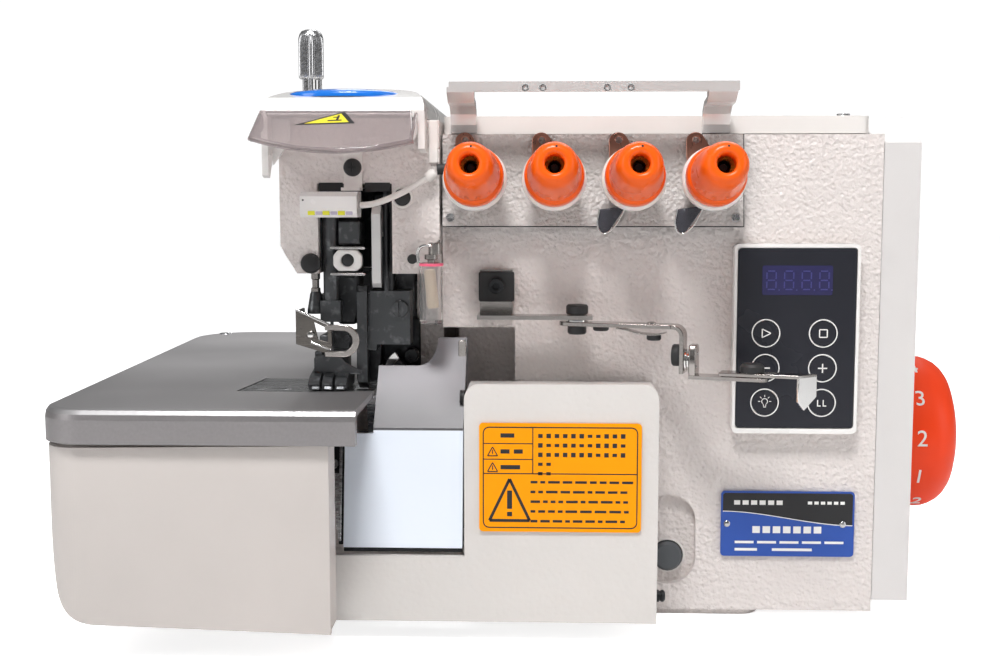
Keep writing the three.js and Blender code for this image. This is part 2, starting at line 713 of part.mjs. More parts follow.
// A thin lead from the lamp to its entry at the body.
function ledLead() {
  const route = new THREE.CatmullRomCurve3([
    new THREE.Vector3(-84.4, -113, 166.6),
    new THREE.Vector3(-79, -113, 167.2),
    new THREE.Vector3(-70, -111.5, 170.6),
    new THREE.Vector3(-62, -109.5, 175),
    new THREE.Vector3(-56.4, -107.8, 178.8),
  ]);
  const section = new THREE.Shape();
  section.absarc(0, 0, 1.2, 0, 2 * Math.PI, false);
  const options = { steps: 14, extrudePath: route, curveSegments: 4 };
  return solidOf(new THREE.ExtrudeGeometry(section, options));
}

function siliconeCup() {
  const profile = [
    [0, 120.4], [4, 120.4], [4.65, 121.2], [4.65, 143.6], [3.9, 144.4], [0, 144.4],
  ];
  return turned(profile, [-57.2, -110.6, 0], [0, 0, 1], 20);
}

// ---------------------------------------------------------------- seam guide

function guideMount() {
  const backPlate = block(-39, -26, -97.3, BODY.front - GAP, 122.4, 141);
  const strip = polygon([
    [-39.4, -96.5], [-26, -96.5], [-26, -104], [5.4, -104], [5.4, -112], [-39.4, -112],
  ]);
  const { x, y } = GUIDE_PIVOT;
  return cut(backPlate.add(alongZ(strip, 122.4, 124)), rod([x, y, 120], [x, y, 126], 1.7, 12));
}

// The guide's arm, swing arm and slider are drawn from their shared pivot, along the arm's length.
function guideArm() {
  const strip = union(block(-7, 42, -4, 4, 119.9, 121.5), block(41, 42.6, -4, 4, 103, 121.5));
  return cut(strip, rod([0, 0, 118], [0, 0, 123], 1.7, 12));
}

function guideSwingArm() {
  return union(block(42.9, 47.5, -4, 4, 101.2, 114), block(43.5, 74, -4, 4, 101.2, 102.6));
}

// A flat strip with its end folded down along a slanting line.
function guideSlider() {
  const strip = polygon([[56, -4], [86, -4], [92, 4], [56, 4]]);
  const tab = polygon([[86, -4], [92, 4], [90.8, 4], [84.8, -4]]);
  return union(alongZ(strip, 103, 104.2), alongZ(tab, 91, 104));
}

// ---------------------------------------------------------------- assembly

function paint(color, roughness, metalness) {
  return new THREE.MeshStandardMaterial({ color, roughness, metalness });
}

const PAINTED = paint(0xe4dfdc, 0.5, 0.1);
const WHITE_PLASTIC = paint(0xefeae8, 0.35, 0);
const BRIGHT = paint(0xc9c9c9, 0.2, 1);
const STEEL = paint(0x9a9a9c, 0.35, 0.9);
const DARK = paint(0x26272a, 0.5, 0.3);
const ORANGE = paint(0xf06a1c, 0.35, 0);
const LABEL = paint(0xf59a23, 0.5, 0);
const BLUE = paint(0x1c4fa3, 0.3, 0.2);
const RED = paint(0xe0402a, 0.4, 0);
const CLEAR = paint(0x9a9090, 0.1, 0);

const machine = new THREE.Group();

function addPart(parent, name, solid, material) {
  const mesh = new THREE.Mesh(geometryOf(solid), material);
  mesh.name = name;
  parent.add(mesh);
}

const parts = [
  ['main_casting', mainCasting(), PAINTED],
  ['oil_pan', oilPan(), PAINTED],
  ['rear_cover', rearCover(), PAINTED],
  ['top_cover', topCover(), PAINTED],
  ['end_cover', endCover(), PAINTED],
  ['arm_casting', armCasting(), PAINTED],
  ['head_cover', headCover(), WHITE_PLASTIC],
  ['head_badge', headBadge(), BLUE],
  ['eye_guard', eyeGuard(), CLEAR],
  ['looper_cover', looperCover(), WHITE_PLASTIC],
  ['cover_hinge_shaft', coverHingeShaft(), DARK],
  ['warning_label', warningLabel(), LABEL],
  ['side_cover', sideCover(), WHITE_PLASTIC],
  ['cloth_plate', clothPlate(), STEEL],
  ['throat_plate', throatPlate(), STEEL],
  ['chip_chute', chipChute(), STEEL],
  ['needle_bar', needleBar(), BRIGHT],
  ['take_up_lever', takeUpLever(), BRIGHT],
  ['lower_looper', lowerLooper(), BRIGHT],
  ['upper_looper', upperLooper(), BRIGHT],
  ['upper_knife', upperKnife(), DARK],
  ['lower_knife', lowerKnife(), STEEL],
  ['feed_dog', feedDog(), STEEL],
  ['presser_arm', presserArm(), DARK],
  ['presser_foot', presserFoot(), STEEL],
  ['foot_lift_lever', footLiftLever(), DARK],
  ['pressure_knob', pressureKnob(), BRIGHT],
  ['main_shaft', mainShaft(), STEEL],
  ['shaft_bearing', shaftBearing(), STEEL],
  ['motor_stator', motorStator(), DARK],
  ['handwheel', handwheel(), RED],
  ['tension_plate', tensionPlate(), PAINTED],
  ['thread_guide_bar', threadGuideBar(), BRIGHT],
  ['panel_housing', panelHousing(), WHITE_PLASTIC],
  ['panel_face', panelFace(), DARK],
  ['nameplate', nameplate(), BLUE],
  ['stitch_button', stitchButton(), DARK],
  ['led_bracket', ledBracket(), STEEL],
  ['led_housing', ledHousing(), WHITE_PLASTIC],
  ['led_lead', ledLead(), WHITE_PLASTIC],
  ['silicone_cup', siliconeCup(), CLEAR],
  ['guide_mount', guideMount(), BRIGHT],
];
parts.forEach(([name, solid, material]) => addPart(machine, name, solid, material));

for (let i = 0; i < TENSION.count; i++) {
  const x = TENSION.firstX + i * TENSION.pitch;
  addPart(machine, `tension_seat_${i + 1}`, tensionSeat(x), WHITE_PLASTIC);
  addPart(machine, `tension_knob_${i + 1}`, tensionKnob(x), ORANGE);
}

keyCentres().forEach((centre, i) => addPart(machine, `panel_key_${i + 1}`, panelKey(centre), DARK));

const guide = new THREE.Group();
guide.position.set(GUIDE_PIVOT.x, GUIDE_PIVOT.y, 0);
guide.rotation.z = THREE.MathUtils.degToRad(GUIDE_PIVOT.angle);
addPart(guide, 'guide_arm', guideArm(), BRIGHT);
addPart(guide, 'guide_swing_arm', guideSwingArm(), BRIGHT);
addPart(guide, 'guide_slider', guideSlider(), BRIGHT);
machine.add(guide);

export default machine;
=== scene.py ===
"""Looks of the serger overlock machine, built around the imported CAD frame. Run by Blender 4.5."""
import json
import math
import random

import bmesh
import bpy
from mathutils import Matrix, Vector


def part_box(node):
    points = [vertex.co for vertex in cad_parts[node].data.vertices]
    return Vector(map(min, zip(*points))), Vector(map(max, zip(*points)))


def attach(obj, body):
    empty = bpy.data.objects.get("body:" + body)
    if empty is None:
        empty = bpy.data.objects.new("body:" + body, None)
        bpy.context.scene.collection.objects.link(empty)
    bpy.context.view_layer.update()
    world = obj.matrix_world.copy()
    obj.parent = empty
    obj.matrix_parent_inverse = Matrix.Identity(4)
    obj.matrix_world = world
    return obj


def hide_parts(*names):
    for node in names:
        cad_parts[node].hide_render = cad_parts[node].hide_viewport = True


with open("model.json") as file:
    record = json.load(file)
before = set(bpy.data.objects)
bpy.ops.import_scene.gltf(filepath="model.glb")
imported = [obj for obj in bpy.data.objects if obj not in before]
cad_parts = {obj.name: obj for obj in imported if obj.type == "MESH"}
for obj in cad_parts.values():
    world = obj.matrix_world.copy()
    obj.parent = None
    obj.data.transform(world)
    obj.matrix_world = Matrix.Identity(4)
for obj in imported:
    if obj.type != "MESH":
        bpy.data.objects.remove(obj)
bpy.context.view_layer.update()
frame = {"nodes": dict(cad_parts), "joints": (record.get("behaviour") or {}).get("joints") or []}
NODES = frame["nodes"]
MM = 0.001

FORWARD = (0, -1, 0)
RIGHTWARD = (1, 0, 0)
UPWARD = (0, 0, 1)
# Stands a drawing made in X and Y up in X and Z, facing forward or backward.
STANDING = Matrix(((1, 0, 0, 0), (0, 0, -1, 0), (0, 1, 0, 0), (0, 0, 0, 1)))
STANDING_BACKWARD = Matrix(((1, 0, 0, 0), (0, 0, 1, 0), (0, 1, 0, 0), (0, 0, 0, 1)))

CAMERA_PLACE = (-0.012, -0.610, 0.16865)
CAMERA_PITCH = math.radians(5.89)
CAMERA_YAW = math.radians(2.12)
CAMERA_LENS = 46.44
LIGHT_TARGET = (-0.02, -0.05, 0.1)
# What the object sees of the studio, as (share of the height, brightness) from floor to ceiling.
STUDIO_LEVELS = ((0.0, 0.20), (0.46, 0.22), (0.50, 0.34), (0.56, 0.10), (0.74, 0.20), (1.0, 0.34))
# What the camera sees in its place.
BACKDROP_LEVEL = 1.05
FLOOR_HALF = 6000
FLOOR_DROP = 0.05
FLOOR_GLOW = {"To Min": 0.06, "To Max": 0.80}

# The slot of a piece goes by its material, unless the piece names another.
SLOT_OF = {
    "dark": "dark_steel", "iron": "dark_steel", "rubber": "dark_steel", "copper": "dark_steel",
    "steel": "bright_steel", "brass": "bright_steel", "nickel": "bright_steel", "chrome": "bright_chrome",
    "shaded_nickel": "bright_chrome", "smooth": "body_paint", "cap": "cover_white", "side": "cover_white",
    "seat": "seat_white", "orange": "knob_orange", "red": "wheel_red", "pink": "wheel_red",
    "cup": "cup_clear", "felt": "cup_clear", "guard": "guard_clear", "smoked": "guard_clear",
    "lens": "lamp_white", "lilac": "lamp_white", "lead": "lead_white", "yellow": "label_orange",
    "badge": "badge_blue", "display": "panel_black", "segment": "panel_black", "black_ink": "panel_black",
    "white_ink": "panel_white",
}


# ---------------------------------------------------------------- camera, light and floor

def add_camera():
    forward = Vector((
        -math.sin(CAMERA_YAW) * math.cos(CAMERA_PITCH),
        math.cos(CAMERA_YAW) * math.cos(CAMERA_PITCH),
        -math.sin(CAMERA_PITCH),
    ))
    data = bpy.data.cameras.new("camera")
    data.sensor_width = 36.0
    data.lens = CAMERA_LENS
    camera = bpy.data.objects.new("camera", data)
    camera.location = CAMERA_PLACE
    camera.rotation_euler = forward.to_track_quat("-Z", "Y").to_euler()
    bpy.context.scene.collection.objects.link(camera)
    bpy.context.scene.camera = camera


def add_area_light(name, location, size, energy):
    data = bpy.data.lights.new(name, "AREA")
    data.shape = "RECTANGLE"
    data.size, data.size_y = size
    data.energy = energy
    light = bpy.data.objects.new(name, data)
    light.location = location
    aim = Vector(LIGHT_TARGET) - Vector(location)
    light.rotation_euler = aim.to_track_quat("-Z", "Y").to_euler()
    bpy.context.scene.collection.objects.link(light)


def add_studio():
    """Four area lights, and a grey studio that only the camera sees as white."""
    bpy.context.scene.view_settings.view_transform = "Standard"
    world = bpy.data.worlds.new("studio")
    world.use_nodes = True
    tree = world.node_tree
    direction = tree.nodes.new("ShaderNodeTexCoord")
    split = tree.nodes.new("ShaderNodeSeparateXYZ")
    ramp = tree.nodes.new("ShaderNodeValToRGB")
    height = tree.nodes.new("ShaderNodeMapRange")
    height.inputs["From Min"].default_value = -1.0
    tree.links.new(direction.outputs["Generated"], split.inputs["Vector"])
    tree.links.new(split.outputs["Z"], height.inputs["Value"])
    tree.links.new(height.outputs["Result"], ramp.inputs["Fac"])
    ramp.color_ramp.elements[0].position = STUDIO_LEVELS[0][0]
    ramp.color_ramp.elements[1].position = STUDIO_LEVELS[-1][0]
    for position, _ in STUDIO_LEVELS[1:-1]:
        ramp.color_ramp.elements.new(position)
    for element, (_, level) in zip(ramp.color_ramp.elements, STUDIO_LEVELS):
        element.color = (level, level, level, 1.0)
    seen = tree.nodes.new("ShaderNodeLightPath")
    choice = tree.nodes.new("ShaderNodeMix")
    choice.data_type = "RGBA"
    choice.inputs["B"].default_value = (BACKDROP_LEVEL, BACKDROP_LEVEL, BACKDROP_LEVEL, 1.0)
    tree.links.new(seen.outputs["Is Camera Ray"], choice.inputs["Factor"])
    tree.links.new(ramp.outputs["Color"], choice.inputs["A"])
    tree.links.new(choice.outputs["Result"], tree.nodes["Background"].inputs["Color"])
    bpy.context.scene.world = world
    add_area_light("key_light", (-0.10, -0.62, 1.00), (0.30, 0.22), 10.5)
    add_area_light("left_light", (-0.85, -0.60, 0.45), (0.35, 0.6), 1.9)
    add_area_light("right_light", (0.95, -0.45, 0.40), (0.35, 0.6), 1.8)
    add_area_light("back_light", (0.1, 0.75, 0.85), (0.8, 0.4), 3)


# ---------------------------------------------------------------- materials

class Nodes:
    """A short way to build a material's node tree in object coordinates, in metres."""

    def __init__(self, name):
        self.material = bpy.data.materials.new(name)
        self.material.use_nodes = True
        self.tree = self.material.node_tree
        self.shader = self.tree.nodes["Principled BSDF"]
        self.coordinates = self.add("ShaderNodeTexCoord").outputs["Object"]

    def add(self, kind, **settings):
        node = self.tree.nodes.new(kind)
        for key, value in settings.items():
            setattr(node, key, value)
        return node

    def link(self, output, socket):
        self.tree.links.new(output, socket)

    def mapped(self, scale):
        mapping = self.add("ShaderNodeMapping")
        mapping.inputs["Scale"].default_value = scale
        self.link(self.coordinates, mapping.inputs["Vector"])
        return mapping.outputs["Vector"]

    def noise(self, scale, detail=2.0, stretch=None):
        node = self.add("ShaderNodeTexNoise")
        node.inputs["Scale"].default_value = scale
        node.inputs["Detail"].default_value = detail
        vector = self.mapped(stretch) if stretch else self.coordinates
        self.link(vector, node.inputs["Vector"])
        return node.outputs["Fac"]

    def cells(self, scale):
        node = self.add("ShaderNodeTexVoronoi", feature="SMOOTH_F1")
        node.inputs["Scale"].default_value = scale
        self.link(self.coordinates, node.inputs["Vector"])
        return node.outputs["Distance"]

    def spread(self, value, low, high, out_low, out_high):
        """Maps the range from low to high onto the one from out_low to out_high."""
        node = self.add("ShaderNodeMapRange")
        limits = {"From Min": low, "From Max": high, "To Min": out_low, "To Max": out_high}
        for key, number in limits.items():
            node.inputs[key].default_value = number
        self.link(value, node.inputs["Value"])
        return node.outputs["Result"]

    def blend_colors(self, factor, first, second):
        """Mixes two colours, each of them a tuple or another node's output."""
        node = self.add("ShaderNodeMix", data_type="RGBA")
        for key, color in (("A", first), ("B", second)):
            if isinstance(color, tuple):
                node.inputs[key].default_value = (*color, 1.0)
            else:
                self.link(color, node.inputs[key])
        self.link(factor, node.inputs["Factor"])
        return node.outputs["Result"]

    def place(self):
        """The X, Y and Z of the point being shaded."""
        split = self.add("ShaderNodeSeparateXYZ")
        self.link(self.coordinates, split.inputs["Vector"])
        return split.outputs

    def above(self, level):
        """0 below a height in metres and 1 above it, with a sharp step."""
        half_step = 0.0002
        return self.spread(self.place()["Z"], level - half_step, level + half_step, 0, 1)

    def sum(self, first, second, weight):
        node = self.add("ShaderNodeMath", operation="MULTIPLY_ADD")
        self.link(second, node.inputs[0])
        node.inputs[1].default_value = weight
        self.link(first, node.inputs[2])
        return node.outputs["Value"]

    def bump(self, height, strength, distance):
        node = self.add("ShaderNodeBump")
        node.inputs["Strength"].default_value = strength
        node.inputs["Distance"].default_value = distance
        self.link(height, node.inputs["Height"])
        self.link(node.outputs["Normal"], self.shader.inputs["Normal"])
        self.link(node.outputs["Normal"], self.shader.inputs["Coat Normal"])

    def color(self, output):
        self.link(output, self.shader.inputs["Base Color"])

    def roughness(self, output):
        self.link(output, self.shader.inputs["Roughness"])

    def set(self, **values):
        for key, value in values.items():
            self.shader.inputs[key.replace("_", " ")].default_value = value
        return self


def shade(color, factor):
    return tuple(min(1.0, channel * factor) for channel in color)


def hammered_paint(name, color, strength, scale=480.0):
    """Thick wrinkled enamel: rounded cells with a fine orange-peel on top."""
    nodes = Nodes(name).set(Metallic=0.0, Coat_Weight=0.35, Coat_Roughness=0.22)
    cells = nodes.cells(scale)
    peel = nodes.noise(scale * 1.8, 3.0)
    patches = nodes.noise(14.0, 3.0)
    nodes.color(nodes.blend_colors(nodes.spread(patches, 0.35, 0.65, 0, 1), shade(color, 0.955), color))
    nodes.roughness(nodes.spread(peel, 0.3, 0.7, 0.32, 0.5))
    nodes.bump(nodes.sum(cells, peel, 0.6), strength, 0.0009)
    return nodes.material


def moulded(name, color, roughness, strength=0.08, scale=1500.0, **extra):
    """A moulding or smooth enamel with a very fine grain and faint tone changes."""
    nodes = Nodes(name).set(**extra)
    grain = nodes.noise(scale, 2.0)
    patches = nodes.noise(20.0, 4.0)
    nodes.color(nodes.blend_colors(nodes.spread(patches, 0.3, 0.7, 0, 1), shade(color, 0.93), color))
    nodes.roughness(nodes.spread(patches, 0.3, 0.7, roughness * 0.85, roughness * 1.2))
    nodes.bump(grain, strength, 0.0002)
    return nodes.material


def machined(name, color, roughness, stretch, strength=0.15):
    """Ground or brushed metal: fine lines along the direction that isn't stretched."""
    nodes = Nodes(name).set(Metallic=1.0)
    lines = nodes.noise(900.0, 4.0, stretch)
    smears = nodes.noise(40.0, 4.0)
    nodes.color(nodes.blend_colors(nodes.spread(smears, 0.3, 0.7, 0, 1), shade(color, 0.86), color))
    nodes.roughness(nodes.spread(lines, 0.3, 0.7, roughness * 0.75, roughness * 1.35))
    nodes.bump(lines, strength, 0.0001)
    return nodes.material


def blackened(name, color, roughness):
    """Blackened steel with paler rubbed spots and a fine cast grain."""
    nodes = Nodes(name).set(Metallic=0.75)
    spots = nodes.noise(260.0, 5.0)
    grain = nodes.noise(1400.0, 3.0)
    nodes.color(nodes.blend_colors(nodes.spread(spots, 0.55, 0.8, 0, 1), color, shade(color, 2.6)))
    nodes.roughness(nodes.spread(spots, 0.3, 0.7, roughness, roughness * 0.7))
    nodes.bump(grain, 0.25, 0.0002)
    return nodes.material


def clear_plastic(name, color, roughness, weight):
    nodes = Nodes(name).set(IOR=1.46, Transmission_Weight=weight)
    smears = nodes.noise(60.0, 3.0)
    nodes.color(nodes.blend_colors(smears, color, shade(color, 1.05)))
    nodes.roughness(nodes.spread(smears, 0.3, 0.7, roughness, roughness * 1.8))
    return nodes.material


def ground_plate(name, top_color, edge_color, edge_height):
    """A plate with a finely ground top, and a rough-cast, brighter rim below a height in metres. The top
    pales towards the back as a painted reflection.
    """
    nodes = Nodes(name).set(Metallic=0.85)
    lines = nodes.noise(700.0, 4.0, (0.04, 1, 1))
    smears = nodes.noise(9.0, 3.0)
    cells = nodes.cells(560.0)
    # Painted reflection: the top pales from front to back, mixed with random smears.
    distance = nodes.spread(nodes.place()["Y"], -0.13, 0.09, 0, 1)
    painted_sheen_and_smears = nodes.sum(distance, smears, 0.25)
    top = nodes.blend_colors(painted_sheen_and_smears, shade(top_color, 0.86), shade(top_color, 1.7))
    rim = nodes.blend_colors(nodes.noise(900.0, 3.0), shade(edge_color, 0.85), edge_color)
    nodes.color(nodes.blend_colors(nodes.above(edge_height), rim, top))
    nodes.roughness(nodes.spread(smears, 0.3, 0.7, 0.34, 0.46))
    nodes.bump(nodes.sum(cells, lines, 0.25), 0.22, 0.0002)
    return nodes.material


def sheet_with_painted_reflection(name, upper, lower, height):
    """A satin sheet: one colour below a height in metres, another that pales upward above it. The upper
    colour and its fade are painted reflection.
    """
    nodes = Nodes(name).set(Metallic=0.0, Specular_IOR_Level=0.35)
    patches = nodes.noise(26.0, 4.0)
    fade = nodes.spread(nodes.place()["Z"], height, height + 0.02, 0.8, 1.35)
    # Painted reflection: above the height the sheet starts at a third of its colour and pales upward.
    lift = nodes.spread(nodes.place()["Z"], height, height + 0.026, 0, 1)
    painted_reflection = nodes.blend_colors(lift, shade(upper, 0.34), upper)
    nodes.color(nodes.blend_colors(nodes.above(height), lower, painted_reflection))
    nodes.roughness(nodes.spread(nodes.sum(patches, fade, 0.1), 0.3, 0.8, 0.26, 0.42))
    nodes.bump(nodes.noise(700.0, 2.0), 0.04, 0.0002)
    return nodes.material


def build_materials():
    warm = (0.74, 0.68, 0.655)
    return {
        "paint": hammered_paint("hammered_paint", warm, 0.85, 620.0),
        # The tension plate's paint: the body enamel darkened to 0.70 as painted shade, with a coarser
        # texture.
        "paint_coarse_shaded": hammered_paint("coarse_shaded_paint", shade(warm, 0.70), 1.0, 700.0),
        # The looper cover's enamel is the off-white darkened as painted shade, as the cover stands nearer
        # the key light.
        "cover": hammered_paint("cover_enamel", (0.66, 0.63, 0.605), 0.14, 420.0),
        "smooth": moulded("smooth_white", (0.81, 0.775, 0.745), 0.35, 0.05, 900.0, Coat_Weight=0.3),
        "side_end": moulded("end_cover_enamel", (0.68, 0.655, 0.645), 0.4, 0.05, 900.0, Coat_Weight=0.2),
        # The finger guard bracket's nickel, darkened as painted shade.
        "shaded_nickel": machined("shaded_nickel_steel", (0.19, 0.175, 0.16), 0.3, (0.15, 1, 1), 0.08),
        # The side cover's enamel is the off-white darkened as painted shade, as the cover stands nearer
        # the key and left lights.
        "side": moulded("side_cover_enamel", (0.56, 0.515, 0.49), 0.42, 0.05, 900.0, Coat_Weight=0.2),
        "cap": moulded("cap_white", (0.87, 0.85, 0.83), 0.26, 0.03, 900.0, Coat_Weight=0.5),
        "seat": moulded("seat_white", (0.82, 0.79, 0.76), 0.3, 0.03, 900.0, Subsurface_Weight=0.15,
                        Subsurface_Scale=0.004),
        "bed": ground_plate("bed_plate", (0.42, 0.41, 0.415), (0.34, 0.322, 0.326), 0.0921),
        "steel": machined("ground_steel", (0.58, 0.58, 0.59), 0.26, (0.08, 1, 1)),
        "chrome": machined("polished_chrome", (0.80, 0.79, 0.78), 0.10, (0.2, 1, 1), 0.03),
        "bright": moulded("bright_bar", (0.80, 0.79, 0.78), 0.2, 0.03, 900.0, Metallic=0.45),
        "nickel": machined("warm_nickel", (0.44, 0.41, 0.39), 0.2, (0.15, 1, 1), 0.05),
        "dark": blackened("blackened_steel", (0.028, 0.029, 0.031), 0.42),
        "iron": blackened("dark_grey_iron", (0.085, 0.088, 0.092), 0.45),
        "chute": sheet_with_painted_reflection("chute_sheet", (0.30, 0.29, 0.31), (0.80, 0.86, 0.95), 0.0803),
        "orange": moulded("orange_moulding", (0.88, 0.115, 0.006), 0.26, 0.02, 1200.0,
                          Specular_IOR_Level=0.28),
        "red": moulded("red_moulding", (0.98, 0.065, 0.012), 0.4, 0.04, 1200.0, Specular_IOR_Level=0.25),
        "white_ink": moulded("white_ink", (0.88, 0.87, 0.85), 0.45, 0.02),
        "black_ink": moulded("black_ink", (0.012, 0.012, 0.014), 0.5, 0.02),
        "label": moulded("orange_film", (1.0, 0.34, 0.002), 0.6, 0.05, 600.0, Specular_IOR_Level=0.12),
        "film": moulded("black_film", (0.022, 0.023, 0.030), 0.24, 0.02, 400.0, Specular_IOR_Level=0.25),
        "display": moulded("display_glass", (0.022, 0.02, 0.085), 0.14, 0.02, 400.0, Coat_Weight=0.6),
        "segment": moulded("display_segment", (0.045, 0.045, 0.20), 0.3, 0.02),
        "plate_blue": moulded("plate_blue", (0.025, 0.085, 0.40), 0.3, 0.05, 500.0, Metallic=0.3),
        "badge": moulded("badge_blue", (0.01, 0.17, 0.66), 0.2, 0.03, 500.0, Coat_Weight=0.6),
        "copper": machined("copper_tab", (0.56, 0.27, 0.20), 0.32, (1, 1, 0.2), 0.06),
        "brass": machined("brass_thread", (0.70, 0.48, 0.16), 0.28, (1, 1, 1), 0.05),
        "rubber": moulded("black_rubber", (0.018, 0.018, 0.019), 0.55, 0.2, 900.0),
        "button": moulded("button_grey", (0.075, 0.082, 0.09), 0.42, 0.1, 900.0),
        "guard": clear_plastic("smoked_clear", (0.70, 0.62, 0.62), 0.05, 0.80),
        "cup": clear_plastic("clear_cup", (0.93, 0.91, 0.90), 0.04, 0.92),
        "felt": moulded("cream_felt", (0.80, 0.68, 0.50), 0.95, 0.6, 1600.0, Sheen_Weight=0.5),
        "pink": moulded("pink_ring", (0.85, 0.12, 0.22), 0.35, 0.02),
        "lilac": moulded("lamp_window", (0.55, 0.50, 0.62), 0.25, 0.02),
        "smoked": clear_plastic("smoked_wedge", (0.10, 0.10, 0.12), 0.08, 0.5),
        "lens": moulded("lamp_lens", (0.80, 0.78, 0.05), 0.25, 0.02),
        "yellow": moulded("yellow_film", (0.85, 0.74, 0.03), 0.4, 0.03),
        "lead": moulded("lead_white", (0.78, 0.75, 0.72), 0.5, 0.1, 1500.0),
    }


# ---------------------------------------------------------------- mesh helpers, all in millimetres

def new_object(name, mesh_source, material, body="frame", slot=None, smooth=None):
    """Makes a piece from a mesh in millimetres; smooth is the angle up to which edges are smoothed."""
    slot = slot or SLOT_OF[material]
    mesh = bpy.data.meshes.new(name)
    bmesh.ops.recalc_face_normals(mesh_source, faces=mesh_source.faces)
    bmesh.ops.scale(mesh_source, vec=(MM, MM, MM), verts=mesh_source.verts)
    mesh_source.to_mesh(mesh)
    mesh_source.free()
    obj = bpy.data.objects.new(name, mesh)
    bpy.context.scene.collection.objects.link(obj)
    obj.data.materials.append(MATERIALS[material])
    if smooth:
        for polygon in mesh.polygons:
            polygon.use_smooth = True
        mesh.set_sharp_from_angle(angle=math.radians(smooth))
    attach(obj, body)
    return obj


def add_bevel(obj, width, segments=3, angle=35):
    bevel = obj.modifiers.new("rounded_edges", "BEVEL")
    bevel.width = width * MM
    bevel.segments = segments
    bevel.limit_method = "ANGLE"
    bevel.angle_limit = math.radians(angle)
    bevel.harden_normals = False
    for polygon in obj.data.polygons:
        polygon.use_smooth = True
    obj.data.set_sharp_from_angle(angle=math.radians(angle))
    return obj


def add_prism(mesh, outline, axis, low, high):
    """Extrudes an outline of (a, b) points. The outline's axes are the two others, in X, Y, Z order."""

    def place(point, depth):
        if axis == "X":
            return Vector((depth, point[0], point[1]))
        if axis == "Y":
            return Vector((point[0], depth, point[1]))
        return Vector((point[0], point[1], depth))

    bottom = [mesh.verts.new(place(point, low)) for point in outline]
    top = [mesh.verts.new(place(point, high)) for point in outline]
    mesh.faces.new(bottom)
    mesh.faces.new(list(reversed(top)))
    count = len(outline)
    for i in range(count):
        j = (i + 1) % count
        mesh.faces.new((bottom[j], bottom[i], top[i], top[j]))
    return bottom + top


def prism(name, outline, axis, low, high, material, bevel=0.4, segments=2, body="frame", slot=None):
    mesh = bmesh.new()
    add_prism(mesh, outline, axis, low, high)
    obj = new_object(name, mesh, material, body, slot)
    if bevel:
        add_bevel(obj, bevel, segments)
    return obj


def arc(centre, radius, start, end, steps):
    """Points on an arc; angles are in degrees."""
    points = []
    for i in range(steps + 1):
        angle = math.radians(start + (end - start) * i / steps)
        points.append((centre[0] + radius * math.cos(angle), centre[1] + radius * math.sin(angle)))
    return points


def rounded(left, right, low, high, radius, steps=6):
    corners = (
        ((right - radius, low + radius), -90), ((right - radius, high - radius), 0),
        ((left + radius, high - radius), 90), ((left + radius, low + radius), 180),
    )
    return [point for centre, start in corners for point in arc(centre, radius, start, start + 90, steps)]


def thick_line(points, thickness):
    """The outline of a bent sheet whose middle follows the points."""
    left = []
    right = []
    for i, point in enumerate(points):
        before = Vector(points[max(i - 1, 0)])
        after = Vector(points[min(i + 1, len(points) - 1)])
        along = (after - before).normalized()
        across = Vector((-along.y, along.x)) * thickness / 2
        left.append(tuple(Vector(point) + across))
        right.append(tuple(Vector(point) - across))
    return left + list(reversed(right))


def frame_for(direction):
    return Vector(UPWARD).rotation_difference(Vector(direction).normalized()).to_matrix().to_4x4()


def add_lathe(mesh, profile, base, direction, sides=48):
    """Turns a profile of (radius, distance) points about an axis through the base point."""
    place = Matrix.Translation(Vector(base)) @ frame_for(direction)
    rings = []
    for radius, distance in profile:
        if radius < 1e-6:
            rings.append([mesh.verts.new(place @ Vector((0, 0, distance)))])
            continue
        ring = []
        for i in range(sides):
            angle = 2 * math.pi * i / sides
            point = Vector((radius * math.cos(angle), radius * math.sin(angle), distance))
            ring.append(mesh.verts.new(place @ point))
        rings.append(ring)
    for low, high in zip(rings, rings[1:]):
        for i in range(sides):
            j = (i + 1) % sides
            corners = []
            for vertex in (low[i % len(low)], low[j % len(low)], high[j % len(high)],
                           high[i % len(high)]):
                if vertex not in corners:
                    corners.append(vertex)
            if len(corners) > 2:
                mesh.faces.new(corners)
    return rings


def lathe(name, profile, base, direction, material, sides=48, smooth=35, body="frame", slot=None):
    mesh = bmesh.new()
    add_lathe(mesh, profile, base, direction, sides)
    bmesh.ops.remove_doubles(mesh, verts=mesh.verts, dist=1e-5)
    return new_object(name, mesh, material, body, slot, smooth)


def wire(name, points, radius, material, body="frame", slot=None):
    """A round wire through given points, as a closed mesh."""
    curve = bpy.data.curves.new(name, "CURVE")
    curve.dimensions = "3D"
    curve.bevel_depth = radius * MM
    curve.bevel_resolution = 4
    curve.resolution_u = 8
    curve.use_fill_caps = True
    spline = curve.splines.new("BEZIER")
    spline.bezier_points.add(len(points) - 1)
    for knot, point in zip(spline.bezier_points, points):
        knot.co = Vector(point) * MM
        knot.handle_left_type = "AUTO"
        knot.handle_right_type = "AUTO"
    source = bpy.data.objects.new(name + "_curve", curve)
    bpy.context.scene.collection.objects.link(source)
    bpy.context.view_layer.update()
    mesh = bmesh.new()
    mesh.from_mesh(source.evaluated_get(bpy.context.evaluated_depsgraph_get()).to_mesh())
    bpy.data.objects.remove(source)
    bmesh.ops.scale(mesh, vec=(1 / MM, 1 / MM, 1 / MM), verts=mesh.verts)
    bmesh.ops.remove_doubles(mesh, verts=mesh.verts, dist=1e-4)
    return new_object(name, mesh, material, body, slot, 60)


def half_disc(radius, slot_width):
    """One side of a slotted screw head, as an outline."""
    half = slot_width / 2
    start = math.degrees(math.asin(half / radius))
    return arc((0, 0), radius, start, 180 - start, 14)


